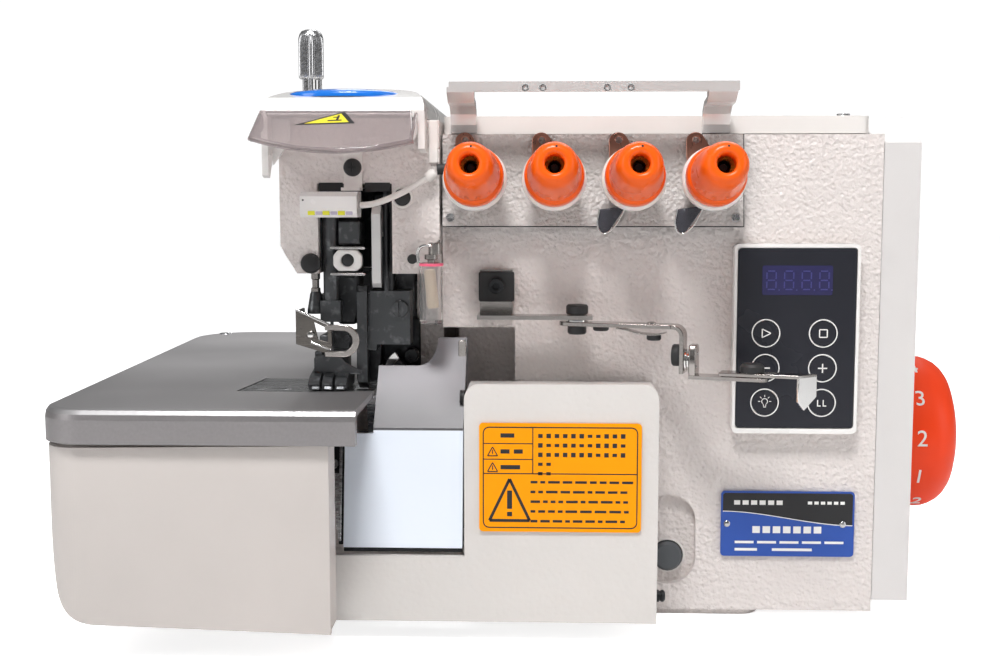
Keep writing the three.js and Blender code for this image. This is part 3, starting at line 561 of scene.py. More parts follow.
def slotted_screw(name, centre, direction, radius, height, material, turn, body="frame", slot=None):
    """A round head with a real slot across it."""
    mesh = bmesh.new()
    add_lathe(mesh, pin(radius, height * 0.55), (0, 0, 0), UPWARD, 28)
    for side in (0, 180):
        rotation = Matrix.Rotation(math.radians(side), 4, "Z")
        outline = half_disc(radius * 0.985, radius * 0.32)
        verts = add_prism(mesh, outline, "Z", height * 0.5, height)
        bmesh.ops.transform(mesh, matrix=rotation, verts=verts)
    turned = frame_for(direction) @ Matrix.Rotation(math.radians(turn), 4, "Z")
    place = Matrix.Translation(Vector(centre)) @ turned
    bmesh.ops.transform(mesh, matrix=place, verts=mesh.verts)
    obj = new_object(name, mesh, material, body, slot)
    add_bevel(obj, min(0.25, radius * 0.08), 2, 40)


def socket_screw(name, centre, direction, radius, height, body="frame"):
    """A cap screw with a hexagon socket."""
    mesh = bmesh.new()
    hexagon = radius * 0.5
    profile = [(0, 0), (radius, 0), (radius, height * 0.88), (radius * 0.9, height),
               (radius * 0.58, height)]
    add_lathe(mesh, profile, (0, 0, 0), UPWARD, 36)
    reach = math.hypot(radius * 0.7, height)
    rim = [v for v in mesh.verts if abs(v.co.z - height) < 1e-6 and v.co.length < reach]
    rim.sort(key=lambda v: math.atan2(v.co.y, v.co.x))
    floor = []
    for vertex in rim:
        angle = math.atan2(vertex.co.y, vertex.co.x)
        sector = (angle % (math.pi / 3)) - math.pi / 6
        distance = hexagon * math.cos(math.pi / 6) / math.cos(sector)
        floor.append((distance * math.cos(angle), distance * math.sin(angle)))
    lip = [mesh.verts.new((x, y, height * 0.96)) for x, y in floor]
    bottom = [mesh.verts.new((x, y, height * 0.35)) for x, y in floor]
    count = len(rim)
    for i in range(count):
        j = (i + 1) % count
        mesh.faces.new((rim[i], rim[j], lip[j], lip[i]))
        mesh.faces.new((lip[i], lip[j], bottom[j], bottom[i]))
    mesh.faces.new(bottom)
    place = Matrix.Translation(Vector(centre)) @ frame_for(direction)
    bmesh.ops.transform(mesh, matrix=place, verts=mesh.verts)
    new_object(name, mesh, "dark", body, smooth=40)


def finish_cad(name, material, bevel):
    """Gives a kept CAD node its material, and rounds its edges with modifiers."""
    obj = NODES[name]
    obj.data.materials.clear()
    obj.data.materials.append(MATERIALS[material])
    if bevel:
        flatten = obj.modifiers.new("join_flat_faces", "DECIMATE")
        flatten.decimate_type = "DISSOLVE"
        flatten.angle_limit = math.radians(0.6)
        add_bevel(obj, bevel)


def box_mm(node):
    """A node's two corners in millimetres."""
    low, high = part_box(node)
    return low / MM, high / MM


def joint_line(name):
    """A joint's point in millimetres and its axis."""
    joint = next(entry for entry in frame["joints"] if entry["name"] == name)
    return Vector(joint["pos_m"]) / MM, Vector(joint["axis"])


def add_plate(mesh, outer, holes, low, high):
    """A flat plate in X and Y with holes through it."""
    loops = []
    edges = []
    for outline in [outer, *holes]:
        loop = [mesh.verts.new((x, y, low)) for x, y in outline]
        count = len(loop)
        edges += [mesh.edges.new((loop[i], loop[(i + 1) % count])) for i in range(count)]
        loops.append(loop)
    filled = bmesh.ops.triangle_fill(mesh, edges=edges, use_beauty=True, use_dissolve=False)
    faces = [item for item in filled["geom"] if isinstance(item, bmesh.types.BMFace)]
    upper = {v: mesh.verts.new((v.co.x, v.co.y, high)) for loop in loops for v in loop}
    for face in faces:
        mesh.faces.new([upper[v] for v in reversed(face.verts)])
    for loop in loops:
        count = len(loop)
        for i in range(count):
            j = (i + 1) % count
            mesh.faces.new((loop[i], loop[j], upper[loop[j]], upper[loop[i]]))
    return [v for loop in loops for v in loop] + list(upper.values())


def plate(name, outer, holes, place, thickness, material, bevel=0.15, body="frame", slot=None):
    """A plate drawn in X and Y, thick along +Z, then put in place."""
    mesh = bmesh.new()
    add_plate(mesh, outer, holes, 0, thickness)
    bmesh.ops.transform(mesh, matrix=place, verts=mesh.verts)
    obj = new_object(name, mesh, material, body, slot)
    if bevel:
        add_bevel(obj, bevel, 2, 40)
    return obj


def standing_at(y, x=0, z=0):
    """Puts a drawing in X and Z, with its thickness towards -Y, at a depth and about a centre."""
    return Matrix.Translation((x, y, z)) @ STANDING


def circle(centre, radius, steps):
    return arc(centre, radius, 0, 360 - 360 / steps, steps - 1)


def pin(radius, length, chamfer=0):
    """A turned profile: a plain pin, chamfered at its far end if asked."""
    end = [(radius, length - chamfer), (radius - chamfer, length)] if chamfer else [(radius, length)]
    return [(0, 0), (radius, 0), *end, (0, length)]


def band(inner, outer, low, high):
    """A turned profile: a flat ring."""
    return [(inner, low), (outer, low), (outer, high), (inner, high), (inner, low)]


def join_rings(mesh, rings, closed=False):
    """Joins rings of vertices into a skin: capped at both ends, or closed on itself."""
    following = rings[1:] + rings[:1] if closed else rings[1:]
    for ring, after in zip(rings, following):
        count = len(ring)
        for i in range(count):
            j = (i + 1) % count
            mesh.faces.new((ring[i], ring[j], after[j], after[i]))
    if not closed:
        mesh.faces.new(list(reversed(rings[0])))
        mesh.faces.new(rings[-1])


def two_circle_outline(first, first_radius, second, second_radius):
    """The outline of a belt around two circles."""
    steps = 14
    between = Vector(second) - Vector(first)
    heading = math.degrees(math.atan2(between.y, between.x))
    spread = math.degrees(math.acos((first_radius - second_radius) / between.length))
    around_second = arc(second, second_radius, heading - spread, heading + spread, steps)
    around_first = arc(first, first_radius, heading + spread, heading + 360 - spread, steps)
    return around_second + around_first


def join_strips(mesh, strips, thickness):
    """Adds flat bars, each given as start point, end point and width, in X and Y."""
    for start, end, width in strips:
        along = (Vector(end) - Vector(start)).normalized()
        across = Vector((-along.y, along.x)) * width / 2
        corners = [Vector(start) - across, Vector(end) - across, Vector(end) + across,
                   Vector(start) + across]
        add_prism(mesh, [tuple(corner) for corner in corners], "Z", 0, thickness)


def printed(name, strips, place, material, thickness=0.06, body="frame", slot=None):
    """Thin printed bars on a surface."""
    mesh = bmesh.new()
    join_strips(mesh, strips, thickness)
    bmesh.ops.transform(mesh, matrix=place, verts=mesh.verts)
    return new_object(name, mesh, material, body, slot)


def outline_strips(points, width):
    count = len(points)
    return [(points[i], points[(i + 1) % count], width) for i in range(count)]


# ---------------------------------------------------------------- castings and covers

def dress_cad():
    """The material and the edge rounding of each CAD node that stays visible."""
    finishes = {
        "main_casting": ("paint", 1.4), "oil_pan": ("paint", 0.4), "rear_cover": ("paint", 0.6),
        "top_cover": ("smooth", 1.0), "end_cover": ("side_end", 0.9), "arm_casting": ("paint", 1.6),
        "head_cover": ("cap", 0.9), "side_cover": ("side", 1.0), "looper_cover": ("cover", 0.9),
        "cover_hinge_shaft": ("dark", 0), "cloth_plate": ("bed", 0.8), "throat_plate": ("steel", 0.3),
        "chip_chute": ("chute", 0.4), "needle_bar": ("iron", 0.2), "take_up_lever": ("bright", 0.4),
        "lower_looper": ("steel", 0.3), "upper_looper": ("steel", 0.3), "upper_knife": ("iron", 0.3),
        "lower_knife": ("steel", 0.2), "feed_dog": ("steel", 0.1), "presser_arm": ("iron", 0.5),
        "presser_foot": ("iron", 0.35), "foot_lift_lever": ("dark", 0.4), "main_shaft": ("steel", 0.2),
        "shaft_bearing": ("steel", 0.2), "motor_stator": ("dark", 0.3),
        # The tension plate takes the darkened enamel, whose colour is painted shade.
        "tension_plate": ("paint_coarse_shaded", 0.5),
        "thread_guide_bar": ("bright", 0.25), "panel_housing": ("cap", 0.5), "panel_face": ("film", 0.15),
        "nameplate": ("plate_blue", 0.25), "stitch_button": ("button", 0.5),
        "led_bracket": ("smooth", 0.2),
        "led_housing": ("cap", 0.6), "led_lead": ("lead", 0), "guide_mount": ("nickel", 0.3),
        "warning_label": ("label", 0.1),
    }
    for i in range(1, 7):
        finishes[f"panel_key_{i}"] = ("film", 0.2)
    for name, (material, bevel) in finishes.items():
        finish_cad(name, material, bevel)


def build_badge():
    """The oval badge on the head cover: a shallow dome with plain bars."""
    low, high = box_mm("head_badge")
    rise = 0.62 * (high.z - low.z)
    centre = (low + high) / 2
    half = (high - low) / 2
    mesh = bmesh.new()
    rings = []
    steps = 64
    dome = ((1.0, 0), (1.0, 0.35), (0.985, 0.55), (0.9, 0.75), (0.6, 1.0), (0.3, 1.1))
    dome_height = dome[-1][1]
    for scale, height in dome:
        rings.append([
            mesh.verts.new((
                centre.x + half.x * scale * math.cos(2 * math.pi * i / steps),
                centre.y + half.y * scale * math.sin(2 * math.pi * i / steps),
                low.z + height / dome_height * rise,
            ))
            for i in range(steps)
        ])
    join_rings(mesh, rings)
    badge = new_object("badge_dome", mesh, "badge", smooth=50)
    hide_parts("head_badge")
    place = Matrix.Translation((centre.x, centre.y, low.z + rise - 0.05))
    bars = [((x, -1.2), (x + 3.6, 1.2), 0.7) for x in (-12, -7, -2, 3, 8)]
    printed("badge_bars", bars, place, "white_ink", 0.15, slot="cover_white")


def build_head_cover_web():
    """The gusset behind the head cover's left ear."""
    low, _ = box_mm("head_cover")
    web = [(low.x + 2.4, 199), (low.x + 9.4, 199), (low.x + 9.4, 191.6), (low.x + 2.4, 182)]
    prism("head_cover_web", web, "Y", -108.6, -106.4, "cap", 0.3)


def build_eye_guard():
    """The clear guard: a sloping sheet with a rounded lower edge, side cheeks and a sticker."""
    low, high = box_mm("eye_guard")
    hinge, _ = joint_line("eye_guard_lift")
    slope = math.radians(31)
    place = Matrix((
        (1, 0, 0, (low.x + high.x) / 2),
        (0, -math.cos(slope), -math.sin(slope), hinge.y),
        (0, -math.sin(slope), math.cos(slope), hinge.z),
        (0, 0, 0, 1),
    ))
    half = (high.x - low.x) / 2
    depth = 20.6
    belly = 8.4
    lean = 1.35
    steps = 20
    lower_edge = []
    for i in range(steps + 1):
        share = -1 + 2 * i / steps
        lower_edge.append((half * share, depth + lean * (share + 1) + belly * (1 - share ** 2)))
    outer = [(-half + 0.5, 0), *lower_edge, (half - 2.5, 0)]
    sheet = plate("guard_sheet", outer, [], place, 1.6, "guard", 0.5, body="guard")
    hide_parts("eye_guard")
    lip = [place @ Vector((x, y - 0.9, 0.1)) for x, y in lower_edge[::2]]
    wire("guard_lip", lip, 0.85, "guard", body="guard")
    for name, side in (("left", -1), ("right", 1)):
        cheek = [(0, 0.5), (depth - 0.5, 0.5), (depth - 0.5, -1.2), (5, -6), (0, -6)]
        mesh = bmesh.new()
        add_prism(mesh, cheek, "X", side * (half - 1.6), side * (half - 0.3))
        bmesh.ops.transform(mesh, matrix=place, verts=mesh.verts)
        add_bevel(new_object(f"guard_cheek_{name}", mesh, "guard", "guard"), 0.3, 2)
    start = Vector((low.x + 3, hinge.y, hinge.z - 0.2))
    lathe("guard_hinge_pin", pin(1.5, 2 * half - 6), start, RIGHTWARD, "chrome", 20, body="guard")
    triangle = [(-15, 11), (7.2, 9.6), (2.2, 0.4)]
    sticker = place @ Matrix.Translation((0.5, 1.4, 1.62))
    plate("guard_sticker_rim", triangle, [], sticker, 0.08, "black_ink", 0, body="guard",
          slot="dark_steel")
    middle = Vector((sum(p[0] for p in triangle) / 3, sum(p[1] for p in triangle) / 3))
    inner = [tuple(middle + (Vector(p) - middle) * 0.74) for p in triangle]
    plate("guard_sticker", inner, [], sticker @ Matrix.Translation((0, 0, 0.06)), 0.08, "yellow", 0,
          body="guard")
    mark = [((-3.2, 7.8), (2.0, 7.4), 0.9), ((0.2, 7.6), (0.6, 3.6), 0.9), ((-1.4, 5.2), (0.4, 5.0), 0.7)]
    printed("guard_sticker_mark", mark, sticker @ Matrix.Translation((0, 0, 0.13)), "black_ink",
            body="guard", slot="dark_steel")


def build_pressure_knob():
    """The knurled pressure screw over its forked skirt."""
    low, high = box_mm("pressure_knob")
    x, y = (low.x + high.x) / 2, (low.y + high.y) / 2
    radius = (high.x - low.x) / 2
    teeth = 40
    tooth_depth = 0.16
    mesh = bmesh.new()
    rings = []
    profile = [
        (0.94, 219.0), (1.0, 219.5), (1.0, 221), (1.0, 224), (1.0, 228), (1.0, 232), (1.0, 235.5),
        (0.94, 237.2), (0.78, 238.5), (0.5, 239.1), (0.2, 239.2),
    ]
    for scale, z in profile:
        ring = []
        for i in range(teeth * 4):
            angle = 2 * math.pi * i / (teeth * 4)
            tooth = tooth_depth * math.cos(teeth * angle) if 219.2 < z < 236 else 0
            reach = radius * scale - tooth_depth + tooth
            ring.append(mesh.verts.new((x + reach * math.cos(angle), y + reach * math.sin(angle), z)))
        rings.append(ring)
    join_rings(mesh, rings)
    knob = new_object("pressure_screw_head", mesh, "steel", "pressure_screw", smooth=30)
    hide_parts("pressure_knob")
    stem = [(0, 206), (2.6, 206), (2.6, 213), (2.1, 213.5), (2.1, 219.1), (0, 219.1)]
    lathe("pressure_screw_stem", stem, (x, y, 0), UPWARD, "chrome", 28, body="pressure_screw",
          slot="bright_steel")
    for i in range(3):
        angle = math.radians(-90 + 120 * i)
        foot = (x + 3.7 * math.cos(angle), y + 3.7 * math.sin(angle), 213.2)
        lathe(f"pressure_screw_prong_{i + 1}", pin(0.9, 6), foot, UPWARD, "steel", 14,
              body="pressure_screw")


# ---------------------------------------------------------------- thread tension knobs and thread guide

def knob_surface(mesh, place):
    """The orange cap: a ring, a groove and a domed front with finger dimples and a hole."""
    scallops = 14
    sides = scallops * 12
    dent_depth, dent_middle, dent_half = 0.55, 34, 3.2
    profile = [
        (3.4, 24), (9.6, 21.2), (10.9, 21.4), (11.2, 22.2), (11.25, 25), (11.15, 27.4), (10.7, 28.7),
        (10.1, 29.1),
        (9.75, 29.4), (9.75, 29.9), (10.05, 30.2), (10.1, 31), (10.05, 32), (9.95, 33), (9.85, 34),
        (9.75, 35),
        (9.65, 36), (9.5, 37.4), (9.3, 39.5), (9.1, 42), (8.85, 45), (8.6, 48), (8.3, 50), (7.8, 51.8),
        (7.0, 53.2), (6.1, 54.0), (5.2, 54.25), (4.6, 54.2), (3.9, 53.9), (3.5, 53.3), (3.4, 52.4),
        (3.4, 40),
    ]
    rings = []
    for radius, distance in profile:
        swell = max(0.0, 1 - abs(distance - dent_middle) / dent_half) if distance > 30.5 else 0.0
        ring = []
        for i in range(sides):
            angle = 2 * math.pi * i / sides
            dent = max(0.0, math.cos(scallops * angle)) ** 2
            reach = radius - dent_depth * dent * swell
            point = Vector((reach * math.cos(angle), reach * math.sin(angle), distance))
            ring.append(mesh.verts.new(place @ point))
        rings.append(ring)
    join_rings(mesh, rings, closed=True)


def build_tension_unit(number):
    """A knob on its stud, in front of its seat; returns where it stands."""
    base, axis = joint_line(f"tension_knob_{number}_turn")
    body = f"tension_{number}"
    place = Matrix.Translation(base) @ frame_for(axis)
    mesh = bmesh.new()
    knob_surface(mesh, place)
    knob = new_object(f"tension_cap_{number}", mesh, "orange", body, smooth=40)
    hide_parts(f"tension_knob_{number}")
    thread = [(3.35, 38)]
    for turn in range(7):
        thread += [(2.5, 38.6 + turn * 1.4), (3.0, 39.3 + turn * 1.4)]
    thread += [(3.35, 48.4)]
    lathe(f"tension_bush_{number}", thread, base, axis, "brass", 36, body=body)
    stud = [(0, 20), (1.7, 20), (1.7, 43), (1.3, 43.6), (0, 43.6)]
    lathe(f"tension_stud_{number}", stud, base, axis, "dark", 24)
    mark = place @ Vector((0.6, 5.9, 53.9))
    lathe(f"tension_mark_{number}", [(0, 0), (0.5, 0), (0.35, 0.3), (0, 0.35)], mark, axis, "rubber", 14,
          body=body)
    low, high = box_mm(f"tension_seat_{number}")
    wide = (high.x - low.x) / 2
    cup = [
        (0, 0.4), (wide - 3.4, 0.4), (wide - 3.0, 1.2), (wide - 2.2, 6), (wide - 0.9, 12),
        (wide - 0.25, 16),
        (wide, 18.4), (wide - 0.2, 19.6), (wide - 0.9, 20.3), (wide - 2.2, 20.5), (0, 20.5),
    ]
    seat = lathe(f"tension_cup_{number}", cup, base, axis, "seat", 64)
    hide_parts(f"tension_seat_{number}")
    return base, place


def build_tension_row():
    for number in range(1, 5):
        base, place = build_tension_unit(number)
        tip = (-5.0, 17.2)
        outline = two_circle_outline((0, 0), 8.4, tip, 3.7)
        eye = circle((tip[0] + 0.2, tip[1] + 0.6), 1.35, 20)
        tab_place = place @ Matrix.Translation((0, 0, 0.9))
        plate(f"eyelet_tab_{number}", outline, [eye], tab_place, 1.0, "copper", 0.25)
        if number > 2:
            build_thread_wedge(number, base)


def build_thread_wedge(number, base):
    """A small smoked guide under a tension knob, edged with wire."""
    x, y, z = base.x - 7.2, base.y - 2.2, base.z - 7.5
    outline = [(x + 5.5, z), (x - 5.2, z - 1.5), (x - 5.8, z - 8), (x - 4.0, z - 10.8),
               (x - 1.6, z - 10.2)]
    prism(f"thread_wedge_{number}", outline, "Y", y - 2.4, y, "smoked", 0.5)
    edge = [Vector((px, y - 2.9, pz)) for px, pz in outline[1:] + outline[:1]]
    wire(f"thread_wedge_wire_{number}", edge, 0.32, "chrome")


def build_top_details():
    """Eyes on the top guide; dark strips as painted shadow under and beside the tension plate, and its
    screws.
    """
    low, high = box_mm("thread_guide_bar")
    for i, share in enumerate((0.27, 0.33, 0.55, 0.63)):
        x = low.x + (high.x - low.x) * share
        lathe(f"guide_bar_eye_{i + 1}", band(0.9, 1.3, 0, 0.35), (x, low.y - 0.02, high.z - 2.4), FORWARD,
              "steel", 20)
    low, high = box_mm("tension_plate")
    # Dark strips as painted shadow in the gaps under and beside the tension plate.
    shadow = rounded(low.y + 0.1, high.y, low.z - 0.45, low.z - 0.05, 0.1, 2)
    prism("tension_plate_shadow", shadow, "X", low.x, high.x, "rubber")
    side_shadow_outline = [(low.y + 0.2, low.z - 0.4), (high.y, low.z - 0.4), (high.y, high.z),
                 (low.y + 5.1, high.z)]
    prism("tension_plate_side_shadow", side_shadow_outline, "X", high.x + 0.05, high.x + 0.4, "rubber")
    for i, x in enumerate((low.x + 3, high.x - 3)):
        slotted_screw(f"tension_plate_screw_{i + 1}", (x, low.y + 0.55, low.z + 3.2), (0, -1, 0.14), 1.7,
                      0.9, "steel", 30 + 50 * i)


# ---------------------------------------------------------------- control panel, plates and label

def key_symbols():
    """Generic signs for the six keys, drawn about each key's centre."""
    bulb = outline_strips(arc((0, 0.5), 1.15, -55, 235, 12), 0.28)[:-1]
    bulb += [((-0.55, -0.6), (-0.4, -1.5), 0.26), ((0.55, -0.6), (0.4, -1.5), 0.26)]
    bulb += [((-0.5, -1.75), (0.5, -1.75), 0.3)]
    for angle in (0, 45, 90, 135, 180):
        ray = Vector((math.cos(math.radians(angle)), math.sin(math.radians(angle))))
        centre = Vector((0, 0.5))
        bulb.append((tuple(centre + ray * 1.75), tuple(centre + ray * 2.6), 0.26))
    triangle = outline_strips([(-1.5, -1.7), (1.9, 0), (-1.5, 1.7)], 0.42)
    square = outline_strips([(-1.5, -1.5), (1.5, -1.5), (1.5, 1.5), (-1.5, 1.5)], 0.42)
    minus = [((-1.8, 0), (1.8, 0), 0.5)]
    plus = minus + [((0, -1.8), (0, 1.8), 0.5)]
    steps = [((-1.6, 1.2), (-1.6, -1.2), 0.4), ((-1.8, -1.2), (-0.4, -1.2), 0.4),
             ((0.6, 1.2), (0.6, -1.2), 0.4), ((0.4, -1.2), (1.8, -1.2), 0.4)]
    return [triangle, square, minus, plus, bulb, steps]


def build_panel():
    """The signs and rings of the keys, and the display with its unlit digits."""
    low, high = box_mm("panel_face")
    front = low.y
    for number, strips in enumerate(key_symbols(), start=1):
        key_low, key_high = box_mm(f"panel_key_{number}")
        centre = (key_low + key_high) / 2
        place = standing_at(key_low.y, centre.x, centre.z)
        printed(f"key_sign_{number}", strips, place, "white_ink", 0.08, body=f"key_{number}")
        plate(f"key_ring_{number}", circle((0, 0), 5.62, 48), [circle((0, 0), 5.17, 48)],
              standing_at(front, centre.x, centre.z), 0.08, "white_ink", 0)
    left, right = low.x + (high.x - low.x) * 0.205, low.x + (high.x - low.x) * 0.80
    bottom, top = high.z - 18.2, high.z - 6.6
    display = rounded(left, right, bottom, top, 0.8, 3)
    plate("display_window", display, [], standing_at(front), 0.12, "display", 0)
    digits = []
    digit_width = (right - left) / 4
    for i in range(4):
        x0, x1 = left + digit_width * (i + 0.26), left + digit_width * (i + 0.78)
        levels = (bottom + 2.2, (bottom + top) / 2, top - 2.2)
        digits += [((x0 + 0.4, z), (x1 - 0.4, z), 0.5) for z in levels]
        for x in (x0, x1):
            digits += [((x, levels[k] + 0.5), (x, levels[k + 1] - 0.5), 0.5) for k in (0, 1)]
        digits.append(((x1 + 1.0, levels[0] - 0.2), (x1 + 1.5, levels[0] - 0.2), 0.5))
    printed("display_segments", digits, standing_at(front - 0.11), "segment")


def build_nameplate():
    """Black band over blue, with a curved pale line, plain bars and two rivets."""
    low, high = box_mm("nameplate")
    front = low.y
    left, right = low.x + 0.7, high.x - 0.7
    steps = 24
    curve = []
    for i in range(steps + 1):
        share = i / steps
        ease = share * share * (3 - 2 * share)
        curve.append((left + (right - left) * share, high.z - 8.2 - 5.6 * ease))
    corners = [
        (right, high.z - 1.4), (right - 0.8, high.z - 0.7), (left + 0.8, high.z - 0.7),
        (left, high.z - 1.4),
    ]
    plate("nameplate_band", curve + corners, [], standing_at(front), 0.07, "black_ink", 0)
    line = [(curve[i], curve[i + 1], 0.32) for i in range(steps)]
    printed("nameplate_line", line, standing_at(front - 0.06), "white_ink")
    middle = (left + right) / 2
    rows = [
        (high.z - 4.6, [(left + 4.5 + 3.4 * i, 2.4) for i in range(6)], 1.8),
        (high.z - 4.6, [(right - 18 + 2.6 * i, 1.7) for i in range(6)], 1.2),
        (low.z + 11.0, [(middle - 14 + 4.1 * i, 3.0) for i in range(7)], 2.8),
        (low.z + 5.8, [(middle - 21 + 9.0 * i, 7.6) for i in range(5)], 1.0),
        (low.z + 2.8, [(middle - 21, 9.0), (middle - 6, 16.0)], 1.1),
    ]
    bars = [((x, z), (x + width, z), height) for z, cells, height in rows for x, width in cells]
    printed("nameplate_bars", bars, standing_at(front - 0.06), "white_ink", 0.08)
    for i, x in enumerate((low.x + 2.4, high.x - 4.6)):
        dome = [(0, 0), (1.35, 0), (1.25, 0.45), (0.8, 0.8), (0, 0.95)]
        lathe(f"nameplate_rivet_{i + 1}", dome, (x, front + 0.02, (low.z + high.z) / 2), FORWARD, "steel",
              24)


def build_label():
    """The printed label: border, cells, a generic sign and bars in place of words."""
    low, high = box_mm("warning_label")
    place = standing_at(low.y)
    left, right, bottom, top = low.x + 1.6, high.x - 1.6, low.z + 1.6, high.z - 1.6
    divider = left + (right - left) * 0.322
    rule = bottom + (top - bottom) * 0.54
    cells = [top - 6.2, top - 12.2]
    strips = outline_strips(rounded(left, right, bottom, top, 2.2, 5), 0.45)
    strips += [((divider, rule), (divider, top), 0.4), ((left, rule), (right, rule), 0.4)]
    strips += [((left, z), (divider, z), 0.35) for z in cells]
    words = random.Random(11)
    for z in [top - 3.2 - 3.6 * i for i in range(5)]:
        x = divider + 2
        while x < right - 3.5 and not (z < rule + 4 and x > divider + 8):
            strips.append(((x, z), (x + 1.7, z), words.choice((1.2, 1.5, 1.7))))
            x += 3.1
    for z in [rule - 3.2 - 3.75 * i for i in range(5)]:
        x = divider - 0.8
        while x < right - 3.5:
            width = words.choice((1.8, 2.6, 3.6, 4.4))
            strips.append(((x, z), (min(x + width, right - 1.5), z), 0.95))
            x += width + 1.1
    for z, lengths in ((top - 3.1, (5.2,)), (top - 9.2, (3.4, 3.4)), (top - 15.2, (7.4,))):
        x = left + 6.5
        for length in lengths:
            strips.append(((x, z), (x + length, z), 1.6))
            x += length + 1.6
    printed("label_print", strips, place, "black_ink", body="front_cover")
    for i, z in enumerate((top - 9.2, top - 15.2)):
        small = outline_strips([(left + 1.6, z - 1.7), (left + 5.4, z - 1.7), (left + 3.5, z + 1.7)], 0.4)
        small.append(((left + 3.5, z - 1.0), (left + 3.5, z + 0.6), 0.4))
        printed(f"label_small_sign_{i + 1}", small, place, "black_ink", body="front_cover")
    apex = Vector(((left + divider) / 2 + 0.6, rule - 1.3))
    triangle = [(apex.x - 7.6, bottom + 2.7), (apex.x + 7.6, bottom + 2.7), (apex.x, apex.y - 0.8)]
    printed("label_sign", outline_strips(triangle, 1.1), place, "black_ink", body="front_cover")
    mark = [
        ((apex.x, bottom + 7.2), (apex.x, apex.y - 5.2), 1.9),
        ((apex.x - 0.95, bottom + 5.2), (apex.x + 0.95, bottom + 5.2), 1.7),
    ]
    printed("label_sign_mark", mark, place, "black_ink", body="front_cover")


# ---------------------------------------------------------------- handwheel

def build_handwheel():
    """The wheel: a domed moulding with a hub, a screw and raised numbers."""
    low, high = box_mm("handwheel")
    y, z = (low.y + high.y) / 2, (low.z + high.z) / 2
    radius = (high.z - low.z) / 2
    base = (low.x, y, z)
    depth = high.x - low.x
    profile = [
        (0, 0), (radius - 7, 0), (radius - 3.5, 0.6), (radius - 1.2, 2), (radius, 4.2),
        (radius, depth - 16),
        (radius - 0.25, depth - 13.6), (radius - 1.1, depth - 11), (radius - 2.7, depth - 8),
        (radius - 4.6, depth - 5.8),
        (radius - 7, depth - 4), (radius - 11, depth - 2.5), (radius - 15, depth - 1.6),
        (15.5, depth - 1.1),
        (14.6, depth - 1.9), (13.2, depth - 1.9), (12.4, depth - 1), (11.6, depth), (4.6, depth),
        (4.2, depth - 0.6), (4.2, depth - 4), (0, depth - 4),
    ]
    wheel = lathe("handwheel_shell", profile, base, RIGHTWARD, "red", 128, 30, body="spindle")
    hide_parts("handwheel")
    add_bevel(wheel, 0.4, 2, 30)
    socket_screw("handwheel_screw", (low.x + depth - 3.9, y, z), RIGHTWARD, 3.6, 3.4, "spindle")
    build_wheel_numbers(Vector((low.x + 22.4, y, z)), radius - 0.12)


def build_wheel_numbers(centre, reach):
    """The raised numbers round the rim, read from outside along the axis."""
    marks = 12
    first_angle = -26.6
    mesh = bmesh.new()
    for i in range(marks):
        angle = math.radians(first_angle + 360 / marks * i)
        text = bpy.data.curves.new("number", "FONT")
        text.body = str(i + 1)
        text.size = 10.5
        text.align_x = "CENTER"
        text.align_y = "CENTER"
        text.extrude = 0.3
        source = bpy.data.objects.new("number", text)
        bpy.context.scene.collection.objects.link(source)
        bpy.context.view_layer.update()
        glyph = bmesh.new()
        glyph.from_mesh(source.evaluated_get(bpy.context.evaluated_depsgraph_get()).to_mesh())
        bpy.data.objects.remove(source)
        outward = Vector((0, -math.cos(angle), math.sin(angle)))
        upward = Vector((0, math.sin(angle), math.cos(angle)))
        along = Vector(RIGHTWARD)
        spot = centre + outward * reach
        place = Matrix((
            (along.x, upward.x, outward.x, spot.x),
            (along.y, upward.y, outward.y, spot.y),
            (along.z, upward.z, outward.z, spot.z),
            (0, 0, 0, 1),
        ))
        bmesh.ops.transform(glyph, matrix=place, verts=glyph.verts)
        mesh_copy = bpy.data.meshes.new("glyph")
        glyph.to_mesh(mesh_copy)
        glyph.free()
        mesh.from_mesh(mesh_copy)
        bpy.data.meshes.remove(mesh_copy)
    new_object("handwheel_numbers", mesh, "white_ink", "spindle")


# ---------------------------------------------------------------- sewing head, seen under the arm

def build_head_mechanism():
    """What fills the arm's open front: dark walls, blocks, rods and the thread guide. The dark side
    liners are painted shade.
    """
    arm_low, _ = box_mm("arm_casting")
    top = 174.6
    floor = arm_low.z + 0.4
    prism("head_back_wall", rounded(-101.7, -73.4, floor, top, 1), "Y", -62, -59, "dark")
    # Thin dark liners over the hollow's side walls: painted shade.
    prism("head_left_shade_liner", rounded(-101, -60, floor, top, 1), "X", -102.0, -101.3, "dark", 0.15)
    prism("head_right_shade_liner", rounded(-103, -60, floor, top, 1), "X", -73.7, -73.2, "dark", 0.15)
    prism("head_ceiling", rounded(-101.3, -73.7, -100, -60, 1), "Z", 173.4, 174.4, "dark", 0.15)
    casting = [(-101.2, 172), (-101.2, 128), (-99.4, 121), (-97, 118), (-90, 118), (-88.6, 124),
               (-88.6, 172)]
    prism("bar_bracket", casting, "Y", -88, -74, "iron", 1.2)
    prism("bar_bush", rounded(-94.6, -86, 151, 160.6, 1), "Y", -103.5, -90, "iron", 0.8)
    prism("lever_block", rounded(-83.5, -74.2, 120.5, 172, 2), "Y", -86, -72, "dark", 1.5)
    web = [(-86, 140), (-84, 128), (-77, 120.6), (-66.8, 120.6), (-66.8, 139), (-72, 139.2)]
    prism("knife_bracket", web, "Y", -80, -77.4, "iron", 0.6)
    prism("throat_back_wall", rounded(-97, -66.4, 113, 139.4, 1), "Y", -27, -24.6, "dark")
    build_thread_block()
    build_front_rods(arm_low.y)
    for i, (x, y, radius) in enumerate(((-76.4, -97, 1.1), (-74.9, -94, 0.9))):
        lathe(f"head_rod_{i + 1}", pin(radius, 42), (x, y, 130), UPWARD, "iron", 20)


